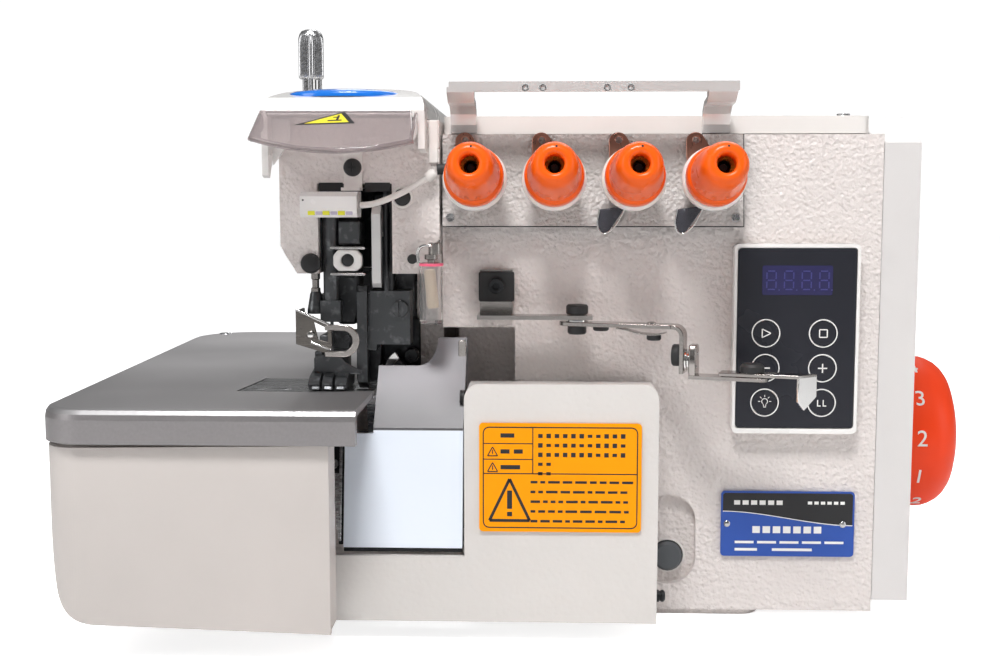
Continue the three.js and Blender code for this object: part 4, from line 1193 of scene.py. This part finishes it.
def build_thread_block():
    """The bright thread guide block with its dark eye, on two small clips."""
    outline = [
        (-96.2, 147.0), (-94.2, 149.2), (-86.8, 149.2), (-84.8, 147.0),
        (-84.8, 143.0), (-86.8, 140.9), (-94.2, 140.9), (-96.2, 143.0),
    ]
    eye = circle((-90.5, 145.1), 2.5, 28)
    plate("thread_block", outline, [eye], standing_at(-103.2), 3.6, "cap", 0.7, slot="bright_steel")
    lathe("thread_block_eye", [(0, 0), (2.4, 0), (2.4, 2.6), (1.8, 3.0), (0, 3.0)],
          (-90.5, -103.4, 145.1), FORWARD, "rubber", 28)
    for name, z in (("upper", 149.9), ("lower", 139.6)):
        clip = rounded(-97.4, -83.6, z - 0.5, z + 0.5, 0.4, 3)
        prism(f"thread_clip_{name}", clip, "Y", -106.4, -96, "chrome", 0.2)
    prism("thread_block_stem", rounded(-93, -88, 138, 151, 1), "Y", -103, -90, "dark", 0.5)


def build_front_rods(arm_front):
    """The thumb screw, the plunger and the tapered boss left of the needle bar."""
    x, y = -104.4, -99.5
    head = [(0, 0), (3.2, 0), (3.9, 0.8), (3.9, 2.6), (3.3, 3.4), (1.6, 3.8), (0, 3.8)]
    lathe("thumb_screw", head, (-105.0, arm_front + 0.4, 143.4), (0, -1, 0.25), "rubber", 30)
    plunger = [(0, 131), (1.9, 131), (1.9, 133.6), (1.4, 134), (1.4, 137), (1.8, 137.4), (1.8, 140.6),
               (0, 140.6)]
    lathe("plunger", plunger, (x, y, 0), UPWARD, "nickel", 24)
    boss = [(0, 123.6), (3.4, 123.6), (3.4, 125), (2.3, 131.4), (1.9, 132.4), (0, 132.4)]
    lathe("plunger_boss", boss, (x, y, 0), UPWARD, "iron", 30)
    prism("plunger_arm", rounded(-104, -99, 124, 131, 0.8), "Y", -99.5, -78, "iron", 0.5)


def build_finger_guard():
    """A folded bracket with windows and a rivet, and a flat horseshoe in front of the needle. The bracket
    is nickel darkened as painted shade, with chrome wires on its fold and lip as painted highlights.
    """
    outer = [(-110.2, 125.9), (-96.2, 119.6), (-96.0, 109.8), (-99, 109.2), (-110.2, 112.6)]
    window = [(-103.0, 121.3), (-97.8, 118.8), (-97.6, 113.4), (-101.4, 114.4)]
    plate("finger_bracket", outer, [window], standing_at(-111.6), 0.9, "shaded_nickel", 0.25, body="presser")
    # Chrome wires along the fold and the lip: painted highlights on the bracket's edges.
    fold = ((-110.0, -112.6, 126.2), (-103.4, -112.9, 123.2), (-96.2, -113.0, 119.9))
    wire("finger_bracket_fold_highlight", fold, 0.55, "chrome", body="presser")
    lip = ((-104.2, -113.0, 113.4), (-101.0, -113.2, 112.2), (-96.2, -113.2, 110.4))
    wire("finger_bracket_lip_highlight", lip, 0.5, "chrome", body="presser")
    dome = [(0, 0), (1.75, 0), (1.6, 0.8), (1.1, 1.4), (0, 1.7)]
    lathe("finger_rivet", dome, (-104.3, -112.4, 116.3), FORWARD, "chrome", 24, body="presser",
          slot="bright_steel")
    prism("finger_side", rounded(-111.6, -96, 112.8, 125.6, 1, 3), "X", -110.3, -109.5, "shaded_nickel", 0.2,
          body="presser")
    prism("finger_stay", rounded(-101, -97.6, 110.4, 116, 0.6, 3), "Y", -111.6, -92.4, "iron", 0.3,
          body="presser")
    outside = [(-98.4, 120.5)] + arc((-91.2, 114.2), 6.3, 90, -90, 22) + [(-98.4, 107.9)]
    inside = [(-98.4, 110.1)] + arc((-91.6, 114.2), 4.0, -90, 90, 20) + [(-98.4, 118.3)]
    prism("finger_horseshoe", outside + inside, "Y", -115.4, -114.2, "nickel", 0.35, body="presser",
          slot="bright_chrome")


def build_presser_details():
    """Screws, toes and the curved edge piece round the presser foot."""
    arm_low, _ = box_mm("presser_arm")
    slotted_screw("presser_screw", (-70.8, arm_low.y + 0.2, 125.4), FORWARD, 3.4, 2.0, "iron", 90,
                  body="presser")
    slotted_screw("holder_screw", (-92.6, arm_low.y + 3.2, 112.8), FORWARD, 1.6, 1.2, "iron", 40,
                  body="presser")
    prism("presser_rib", rounded(-85.8, -80.4, 108.2, 131.2, 0.8), "Y", -96.5, -88, "iron", 0.5,
          body="presser")
    lathe("presser_rib_pin", pin(2.2, 5.4, 0.4), (-80.4, -94.8, 121.5), RIGHTWARD, "iron", 24,
          body="presser")
    foot_low, _ = box_mm("presser_foot")
    for i in range(3):
        x = foot_low.x + 2.9 + 4.9 * i
        toe = [(foot_low.y - 0.2, 94.9), (foot_low.y + 0.6, 94.7), (foot_low.y + 4.6, 94.7),
               (foot_low.y + 4.6, 98.2), (foot_low.y + 1.6, 97.6)]
        prism(f"foot_toe_{i + 1}", toe, "X", x - 1.75, x + 1.75, "iron", 0.5, body="foot",
              slot="bright_steel")
    heel = [(-104.6, 100.6), (-104.6, 106.2), (-103.6, 107.4), (-94.6, 107.4), (-92.0, 104.4),
            (-86.0, 101.4),
            (-86.0, 99.8), (-91.0, 99.8)]
    prism("foot_shield", heel, "Y", -104.9, -103.7, "iron", 0.4, body="foot")
    prism("foot_shield_back", rounded(-104.4, -101.6, 100.8, 108.8, 0.4, 3), "Y", -103.9, -96.2, "iron",
          0.3, body="foot")


def build_knife_area():
    """The black knife carrier behind the chute's notch."""
    prism("knife_carrier", rounded(-83, -64.6, 97.4, 120.2, 1.5), "Y", -80.2, -77.6, "dark", 0.8)
    bow = arc((-69.2, 99.5), 9.2, 176, 120, 10) + arc((-69.2, 99.5), 5.6, 120, 172, 10)
    prism("knife_spring", bow, "Y", -91, -86, "chrome", 0.4, slot="bright_steel")
    knob = [(0, 0), (2.9, 0), (2.9, 5), (2.5, 5.6), (1.2, 5.6), (1.2, 5.1), (0, 5.1)]
    lathe("knife_knob", knob, (-67.6, -83.4, 105.4), FORWARD, "dark", 28)
    for i, z in enumerate((101.0, 113.6)):
        socket_screw(f"knife_screw_{i + 1}", (-79.4 + 5.5 * i, -80.2, z), FORWARD, 2.0, 1.4)
    prism("knife_holder", rounded(-89.8, -79.6, 94.6, 117, 1.2), "Y", -90, -84, "dark", 0.6)
    lathe("knife_shaft", pin(4.2, 7.6, 0.6), (-74.4, -82, 100), FORWARD, "iron", 30)


def build_looper_area():
    """Dark bracket and levers in the gap between the side cover and the chute, and a dark filler beside
    the chute as painted shade.
    """
    low, high = box_mm("chip_chute")
    prism("looper_bracket", rounded(-96, -83.5, 52, 72, 1.2), "Y", -84, -76, "dark", 0.8)
    # A dark filler sheet left of the chute: painted shade under the cloth plate.
    prism("chute_side_shade_filler", [(-126.4, 36.5), (-97, 36.5), (-97, 79), (-119.4, 79)], "X", low.x - 2.2,
          low.x - 0.4, "dark", 0.3)
    prism("chute_side_edge", [(-127.2, 38), (-126.2, 38), (-119.6, 78.5), (-120.4, 78.5)], "X",
          low.x - 2.2, low.x - 1.0, "steel")
    prism("chute_sill", rounded(-127.4, -120, 34.2, 35.6, 0.3, 2), "X", low.x, high.x, "dark", 0.2)
    slotted_screw("chute_side_screw", (high.x + 0.1, -113, 92), (-1, 0, 0), 3.0, 1.8, "rubber", 40)
    prism("looper_bridge", rounded(-105, -90.4, 60.5, 77, 1.5), "Y", -109, -94, "dark", 0.8)
    lathe("looper_pin", pin(1.7, 5.4, 0.4), (-97.8, -109, 71), FORWARD, "steel", 22)
    slotted_screw("looper_screw", (-96.4, -109, 64.6), FORWARD, 1.9, 1.2, "steel", 60)


def build_arm_details():
    """Screws, the lamp and the cup on the front of the arm."""
    arm_low, _ = box_mm("arm_casting")
    screw_height = 181.2
    strap_low, strap_high = box_mm("led_bracket")
    x = (strap_low.x + strap_high.x) / 2
    screw = [(0, 0), (3.5, 0), (3.5, 1.3), (2.9, 2.2), (1.6, 2.75), (0, 2.9)]
    lathe("lamp_screw", screw, (x, arm_low.y - 1.7, screw_height), FORWARD, "rubber", 32)
    cross = [((-1.7, 0), (1.7, 0), 0.6), ((0, -1.7), (0, 1.7), 0.6)]
    printed("lamp_screw_cross", cross, standing_at(arm_low.y - 4.45, x, screw_height), "dark", 0.2)
    lathe("arm_screw_ring", [(3.3, 0), (4.3, 0), (4.1, 0.35), (3.5, 0.4), (3.3, 0)],
          (-68.9, arm_low.y, 169.6), FORWARD, "smooth", 40)
    lathe("arm_screw", [(0, 0), (3.25, 0), (3.25, 0.5), (2.6, 1.0), (0, 1.2)], (-68.9, arm_low.y, 169.6),
          FORWARD, "rubber", 32)
    for name, left, right in (("left", -101.6, -92.1), ("right", -83.6, -73.6)):
        slot_outline = rounded(left, right, 171.9, 175.4, 0.3, 2)
        prism(f"arm_slot_{name}", slot_outline, "Y", arm_low.y - 0.12, arm_low.y + 6, "rubber", 0)
    strip = rounded(-58.2, -54.9, 183, 199.3, 0.5, 3)
    prism("arm_edge_strip", strip, "Y", arm_low.y - 0.9, arm_low.y - 0.05, "smooth", 0.2)
    build_lamp()
    build_cup()


def build_lamp():
    """The lamp's lenses and windows, and the fittings at both ends of its lead."""
    low, high = box_mm("led_housing")
    width = high.x - low.x
    for i, share in enumerate((0.14, 0.40, 0.67)):
        left = low.x + width * share
        lens = rounded(left, left + 2.7, low.z + 0.9, low.z + 2.5, 0.3, 3)
        prism(f"lamp_lens_{i + 1}", lens, "Y", low.y - 0.25, low.y + 1.2, "lens", 0.12, 2)
        fill = rounded(left + 3.0, left + 5.6, low.z + 1.0, low.z + 2.3, 0.3, 3)
        prism(f"lamp_window_{i + 1}", fill, "Y", low.y - 0.15, low.y + 1.2, "lilac", 0.1, 2)
    lathe("lamp_pip", [(0, 0), (0.4, 0), (0.3, 0.2), (0, 0.2)], (low.x + 1.2, low.y + 0.02, high.z - 3.2),
          FORWARD, "rubber", 12)
    lead_low, lead_high = box_mm("led_lead")
    end = Vector((lead_high.x - 0.6, lead_low.y + 6.2, lead_high.z - 1.2))
    fitting = [(0, 0), (1.9, 0), (2.2, 0.8), (2.2, 3.2), (1.6, 4), (0, 4)]
    lathe("lead_fitting", fitting, end - Vector((2.6, 0.6, 1.6)), (0.82, 0.1, 0.55), "lead", 24)
    gland = [(0, 0), (2.1, 0), (2.1, 3.6), (1.6, 4.2), (0, 4.2)]
    lathe("lead_gland", gland, (-55.2, -105.6, 180.4), (1, 0.05, 0.1), "rubber", 24)


def build_cup():
    """The clear oil cup: a thin-walled tube with a ring, a felt wick and a wire clip."""
    low, high = box_mm("silicone_cup")
    x, y = (low.x + high.x) / 2, (low.y + high.y) / 2
    radius = (high.x - low.x) / 2
    tube = [
        (0, low.z), (radius - 0.8, low.z), (radius, low.z + 0.9), (radius, high.z - 0.4),
        (radius - 0.3, high.z),
        (radius - 0.9, high.z), (radius - 0.9, low.z + 1.8), (0, low.z + 1.8),
    ]
    cup = lathe("oil_cup", tube, (x, y, 0), UPWARD, "cup", 48)
    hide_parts("silicone_cup")
    lathe("oil_cup_ring", band(radius - 0.75, radius + 0.08, 0, 1.0), (x, y, high.z - 1.2), UPWARD,
          "pink", 40)
    felt = [(0, 0), (2.1, 0.2), (2.4, 2), (2.3, 14), (2.0, 15.2), (0, 15.4)]
    lathe("oil_cup_felt", felt, (x + 0.7, y, low.z + 6.2), (-0.09, 0, 1), "felt", 26)
    stem = [(0, 0), (1.5, 0), (1.5, 2.4), (2.6, 2.8), (2.6, 4.6), (0, 4.8)]
    lathe("oil_cup_neck", stem, (x, y, high.z - 1.4), UPWARD, "nickel", 26)
    clip = [
        (x - 4.9, y - 0.6, high.z - 0.2), (x - 5.0, y - 0.6, high.z + 4.6),
        (x - 3.8, y - 0.6, high.z + 6.2),
        (x + 0.8, y - 0.4, high.z + 6.9), (x + 2.6, y + 2.4, high.z + 8.0),
        (x + 2.8, y + 4.6, high.z + 8.4),
    ]
    wire("oil_cup_clip", clip, 0.65, "chrome")
    lathe("oil_cup_post", pin(2.6, 4.6, 0.4), (x + 1.4, y + 1.2, high.z + 3.2), UPWARD, "nickel", 26)
    lathe("oil_cup_screw", pin(1.9, 2.6, 0.4), (x - 7.4, y + 2.0, high.z + 1.4), FORWARD, "rubber", 24)
    prism("oil_cup_bracket", rounded(x - 9, x + 2.6, high.z - 0.6, high.z + 8.6, 1.2, 4), "Y", -104.9,
          -104.0, "nickel", 0.3)


# ---------------------------------------------------------------- seam guide

def guide_place():
    """The guide's own frame: along the arm, across it, and up."""
    pivot, _ = joint_line("guide_arm_swing")
    _, along = joint_line("guide_tab_flip")
    turn = math.atan2(along.y, along.x)
    return Matrix.Translation((pivot.x, pivot.y, 0)) @ Matrix.Rotation(turn, 4, "Z")


def guide_piece(name, mesh, material, body, bevel):
    """A bright piece drawn in the guide's own frame."""
    bmesh.ops.transform(mesh, matrix=guide_place(), verts=mesh.verts)
    return add_bevel(new_object(name, mesh, material, body, "bright_chrome"), bevel)


def guide_turned(name, profile, base, direction, material, body, sides=30):
    """A turned piece drawn in the guide's own frame."""
    place = guide_place()
    start = place @ Vector(base)
    heading = place.to_3x3() @ Vector(direction)
    slot = "dark_steel" if material == "rubber" else "bright_chrome"
    lathe(name, profile, start, heading, material, sides, body=body, slot=slot)


def build_guide_mount_details():
    """The clamp that holds the guide's mount, and the washer under its arm."""
    low, _ = box_mm("guide_mount")
    block = rounded(low.x, low.x + 14.2, 128.4, 140.4, 0.9, 4)
    prism("guide_clamp_plate", block, "Y", low.y + 13.0, low.y + 14.6, "rubber", 0.4)
    centre = (low.x + 7.0, low.y + 13.0, 134.8)
    socket_screw("guide_clamp_screw", centre, FORWARD, 3.1, 2.4)
    guide_turned("guide_washer", band(1.9, 4.3, 121.6, 122.2), (0, 0, 0), UPWARD, "chrome",
                 "guide_arm_body")


def build_guide_arm():
    """The first swinging arm: flat with a round end, turned down at the far end."""
    thickness = 1.6
    middle = 120.7
    mesh = bmesh.new()
    flat = arc((-3, 0), 4, 90, 270, 14) + [(37.6, -4), (37.6, 4)]
    add_plate(mesh, flat, [circle((0, 0), 1.7, 20)], middle - thickness / 2, middle + thickness / 2)
    line = [(37.6, middle)] + arc((38.3, middle - 3.5), 3.5, 90, 0, 10) + [(41.8, 104.2), (41.8, 103)]
    add_prism(mesh, thick_line(line, thickness), "Y", -4, 4)
    arm = guide_piece("guide_arm_strip", mesh, "nickel", "guide_arm_body", 0.25)
    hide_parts("guide_arm")
    screw = [(0, 124.3), (3.9, 124.3), (4.3, 124.8), (4.3, 127.4), (3.8, 128.1), (0, 128.1)]
    guide_turned("guide_thumb_screw", screw, (0, 0, 0), UPWARD, "rubber", "guide_arm_body", 20)
    nut = [(0, 116.6), (3.2, 116.6), (3.7, 117.2), (3.7, 119.7), (0, 119.7)]
    guide_turned("guide_pivot_nut", nut, (0, 0, 0), UPWARD, "rubber", "guide_arm_body", 12)
    disc = [(0, 118.2), (2.6, 118.2), (3.1, 118.7), (3.1, 119.7), (0, 119.7)]
    guide_turned("guide_stop_disc", disc, (9.6, 0, 0), UPWARD, "rubber", "guide_arm_body", 28)
    rivet = [(0, 121.4), (1.9, 121.4), (1.7, 122.0), (0.9, 122.3), (0, 122.35)]
    guide_turned("guide_arm_rivet", rivet, (29.5, 0, 0), UPWARD, "nickel", "guide_arm_body", 26)
    leaf = bmesh.new()
    spring = thick_line([(16, 119.5), (20, 119.0), (25, 117.7), (31, 117.3), (35, 118.2)], 0.5)
    add_prism(leaf, spring, "Y", -2.6, 2.6)
    guide_piece("guide_leaf_spring", leaf, "nickel", "guide_arm_body", 0.1)
    nut = [(0, 115.2), (2.4, 115.2), (2.8, 115.7), (2.8, 117.1), (0, 117.1)]
    guide_turned("guide_leaf_nut", nut, (30.5, 0, 0), UPWARD, "rubber", "guide_arm_body", 12)
    knob = [(0, 0), (3.9, 0), (4.2, 0.5), (4.2, 2.4), (3.8, 3.0), (0, 3.0)]
    guide_turned("guide_hinge_knob", knob, (37.9, 0, 109.8), RIGHTWARD, "rubber", "guide_arm_body", 28)


def build_guide_swing_arm():
    """The flip-down arm: a hub plate with cut corners on washers, and the carrier strip."""
    hub = bmesh.new()
    corners = [(-4.4, 103.4), (-3.2, 101.4), (3.2, 101.4), (4.4, 103.4), (4.4, 111.6), (2.6, 114.2),
               (-2.6, 114.2),
               (-4.4, 111.6)]
    add_prism(hub, corners, "X", 44.6, 47.3)
    obj = guide_piece("guide_hub", hub, "nickel", "guide_swing_body", 0.5)
    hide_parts("guide_swing_arm")
    for i, u in enumerate((43.0, 43.9)):
        guide_turned(f"guide_hub_washer_{i + 1}", pin(4.4 - 0.5 * i, 0.6), (u, 0, 108), RIGHTWARD,
                     "chrome", "guide_swing_body", 32)
    for i, z in enumerate((105.8, 110.6)):
        dot = [(0, 0), (0.7, 0), (0.55, 0.35), (0, 0.45)]
        guide_turned(f"guide_hub_dot_{i + 1}", dot, (47.2, -1.6 + 2.6 * i, z), RIGHTWARD, "chrome",
                     "guide_swing_body", 16)
    strip = bmesh.new()
    flat = [(44.6, -4), (72, -4)] + arc((72, -2), 2, -90, 0, 5) + arc((72, 2), 2, 0, 90, 5) + [(44.6, 4)]
    add_plate(strip, flat, [rounded(58, 70, -1.5, 1.5, 1.4, 5)], 101.2, 102.6)
    guide_piece("guide_carrier", strip, "nickel", "guide_swing_body", 0.25)


def build_guide_slider():
    """The sliding strip, its thumb screw and the slanting tab that guides the cloth."""
    strip = bmesh.new()
    add_plate(strip, [(56, -4), (85.6, -4), (91.4, 4), (56, 4)], [], 103, 104.2)
    obj = guide_piece("guide_slide_strip", strip, "nickel", "guide_slider_body", 0.25)
    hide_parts("guide_slider")
    tab = bmesh.new()
    low_z, high_z = 91.0, 104.0
    outline = [(0, high_z), (0, low_z + 3.4), (3.4, low_z), (10.0, low_z + 4.6), (10.0, high_z)]
    add_prism(tab, outline, "Y", 0, 1.1)
    slant = Matrix.Translation((85.6, -4, 0)) @ Matrix.Rotation(math.atan2(8, 5.8), 4, "Z")
    bmesh.ops.transform(tab, matrix=slant, verts=tab.verts)
    guide_piece("guide_tab", tab, "chrome", "guide_slider_body", 0.3)
    screw = [(0, 104.3), (4.2, 104.3), (4.6, 104.8), (4.5, 106.6), (3.6, 107.6), (0, 107.9)]
    guide_turned("guide_slide_screw", screw, (68, 0, 0), UPWARD, "rubber", "guide_slider_body", 32)


# ---------------------------------------------------------------- remaining small details

def build_cover_details():
    """The hinge pin's end, the chute's flange and screw, the throat plate's screws, a collar."""
    low, high = box_mm("cover_hinge_shaft")
    y, z = (low.y + high.y) / 2, (low.z + high.z) / 2
    tip = [(0, 0), (2.3, 0), (2.3, 0.4), (2.0, 0.7), (2.0, 1.1), (2.3, 1.4), (2.3, 2.2), (1.7, 2.8),
           (0, 2.8)]
    lathe("hinge_pin_end", tip, (high.x - 0.4, y, z), RIGHTWARD, "dark", 26, body="cover_slide")
    _, chute_high = box_mm("chip_chute")
    flange = rounded(chute_high.x - 3.2, chute_high.x - 0.2, 36.5, 113, 0.8, 3)
    prism("chute_flange", flange, "Y", -99.8, -98.4, "nickel", 0.3)
    slotted_screw("chute_screw", (chute_high.x - 5.0, -98.9, 87.6), FORWARD, 1.9, 1.3, "dark", 70)
    _, throat_high = box_mm("throat_plate")
    for i, x in enumerate((-126.6, -116.0)):
        disc = [(0, 0), (3.3, 0), (3.3, 0.12), (3.0, 0.2), (0, 0.2)]
        lathe(f"throat_screw_{i + 1}", disc, (x, -105.5, throat_high.z - 0.12), UPWARD, "steel", 30)
        printed(f"throat_screw_slot_{i + 1}", [((-2.6, 0), (2.6, 0), 0.7)],
                Matrix.Translation((x, -105.5, throat_high.z + 0.05)), "dark", 0.06)
    button_low, button_high = box_mm("stitch_button")
    centre = (button_low + button_high) / 2
    collar = [(6.45, 0), (7.2, 0), (7.2, 0.3), (6.45, 0.4), (6.45, 0)]
    lathe("button_collar", collar, (centre.x, -91.4, centre.z), FORWARD, "smooth", 40)


def build_bed_liner():
    """The pale inner lip that closes the seam between the cloth plate's skirt and the side cover."""
    low, high = box_mm("side_cover")
    seam_low, seam_high = 74.0, 81.8
    radius = 11.0
    inset = 2.9
    left, front = low.x + inset, low.y + inset
    wall = 1.2
    corner = (left + radius, front + radius)
    outside = [(high.x - 1, front)] + arc(corner, radius, 270, 180, 8) + [(left, high.y)]
    inner = arc(corner, radius - wall, 180, 270, 8)
    inside = [(left + wall, high.y)] + inner + [(high.x - 1, front + wall)]
    prism("side_cover_liner", outside + inside, "Z", seam_low, seam_high, "side", body="cloth_bed")


def build_back_and_top_details():
    """Screws in the rear, end and top covers and in the cloth plate, and the rear cover's vents."""
    low, high = box_mm("rear_cover")
    spots = [(x, z) for x in (low.x + 8, high.x - 8) for z in (low.z + 8, high.z - 8)]
    for i, (x, z) in enumerate(spots):
        slotted_screw(f"rear_cover_screw_{i + 1}", (x, high.y, z), (0, 1, 0), 3.2, 1.9, "steel",
                      25 + 40 * i)
    vents = []
    for i in range(9):
        z = low.z + 46 + 7.5 * i
        vents.append(((low.x + 50, z), (low.x + 104, z), 2.6))
    place = Matrix.Translation((0, high.y - 0.02, 0)) @ STANDING_BACKWARD
    printed("rear_cover_vents", vents, place, "rubber", 0.25)
    low, high = box_mm("end_cover")
    spots = [(y, z) for y in (low.y + 9, high.y - 9) for z in (low.z + 9, high.z - 22)]
    for i, (y, z) in enumerate(spots):
        socket_screw(f"end_cover_screw_{i + 1}", (high.x - 0.3, y, z), RIGHTWARD, 2.7, 1.6)
    low, high = box_mm("top_cover")
    spots = [(x, y) for x in (low.x + 9, high.x - 9) for y in (low.y + 9, high.y - 9)]
    for i, (x, y) in enumerate(spots):
        slotted_screw(f"top_cover_screw_{i + 1}", (x, y, high.z - 0.2), UPWARD, 2.6, 1.5, "steel",
                      15 + 50 * i)
    low, high = box_mm("cloth_plate")
    for i, (x, y) in enumerate(((low.x + 14, high.y - 14), (-112, 84))):
        slotted_screw(f"cloth_plate_screw_{i + 1}", (x, y, high.z - 0.15), UPWARD, 3.6, 0.6, "steel",
                      60 * i, body="cloth_bed")


def add_floor():
    """A pale floor that glows for the camera, so that it meets the backdrop unseen."""
    mesh = bmesh.new()
    square = ((-1, -1), (1, -1), (1, 1), (-1, 1))
    mesh.faces.new([mesh.verts.new((x * FLOOR_HALF, y * FLOOR_HALF, -FLOOR_DROP)) for x, y in square])
    data = bpy.data.meshes.new("floor")
    bmesh.ops.scale(mesh, vec=(MM, MM, MM), verts=mesh.verts)
    mesh.to_mesh(data)
    mesh.free()
    floor = bpy.data.objects.new("floor", data)
    bpy.context.scene.collection.objects.link(floor)
    floor_look = moulded("floor_white", (0.93, 0.93, 0.93), 0.9, 0.02, 60.0)
    shader = floor_look.node_tree.nodes["Principled BSDF"]
    shader.inputs["Emission Color"].default_value = (1.0, 1.0, 1.0, 1.0)
    seen = floor_look.node_tree.nodes.new("ShaderNodeLightPath")
    glow = floor_look.node_tree.nodes.new("ShaderNodeMapRange")
    for key, level in FLOOR_GLOW.items():
        glow.inputs[key].default_value = level
    floor_look.node_tree.links.new(seen.outputs["Is Camera Ray"], glow.inputs["Value"])
    floor_look.node_tree.links.new(glow.outputs["Result"], shader.inputs["Emission Strength"])
    data.materials.append(floor_look)


# ---------------------------------------------------------------- everything together

MATERIALS = build_materials()
add_camera()
add_studio()
add_floor()
dress_cad()
build_badge()
build_head_cover_web()
build_eye_guard()
build_pressure_knob()
build_tension_row()
build_top_details()
build_panel()
build_nameplate()
build_label()
build_handwheel()
build_head_mechanism()
build_finger_guard()
build_presser_details()
build_knife_area()
build_looper_area()
build_arm_details()
build_guide_mount_details()
build_guide_arm()
build_guide_swing_arm()
build_guide_slider()
build_cover_details()
build_bed_liner()
build_back_and_top_details()
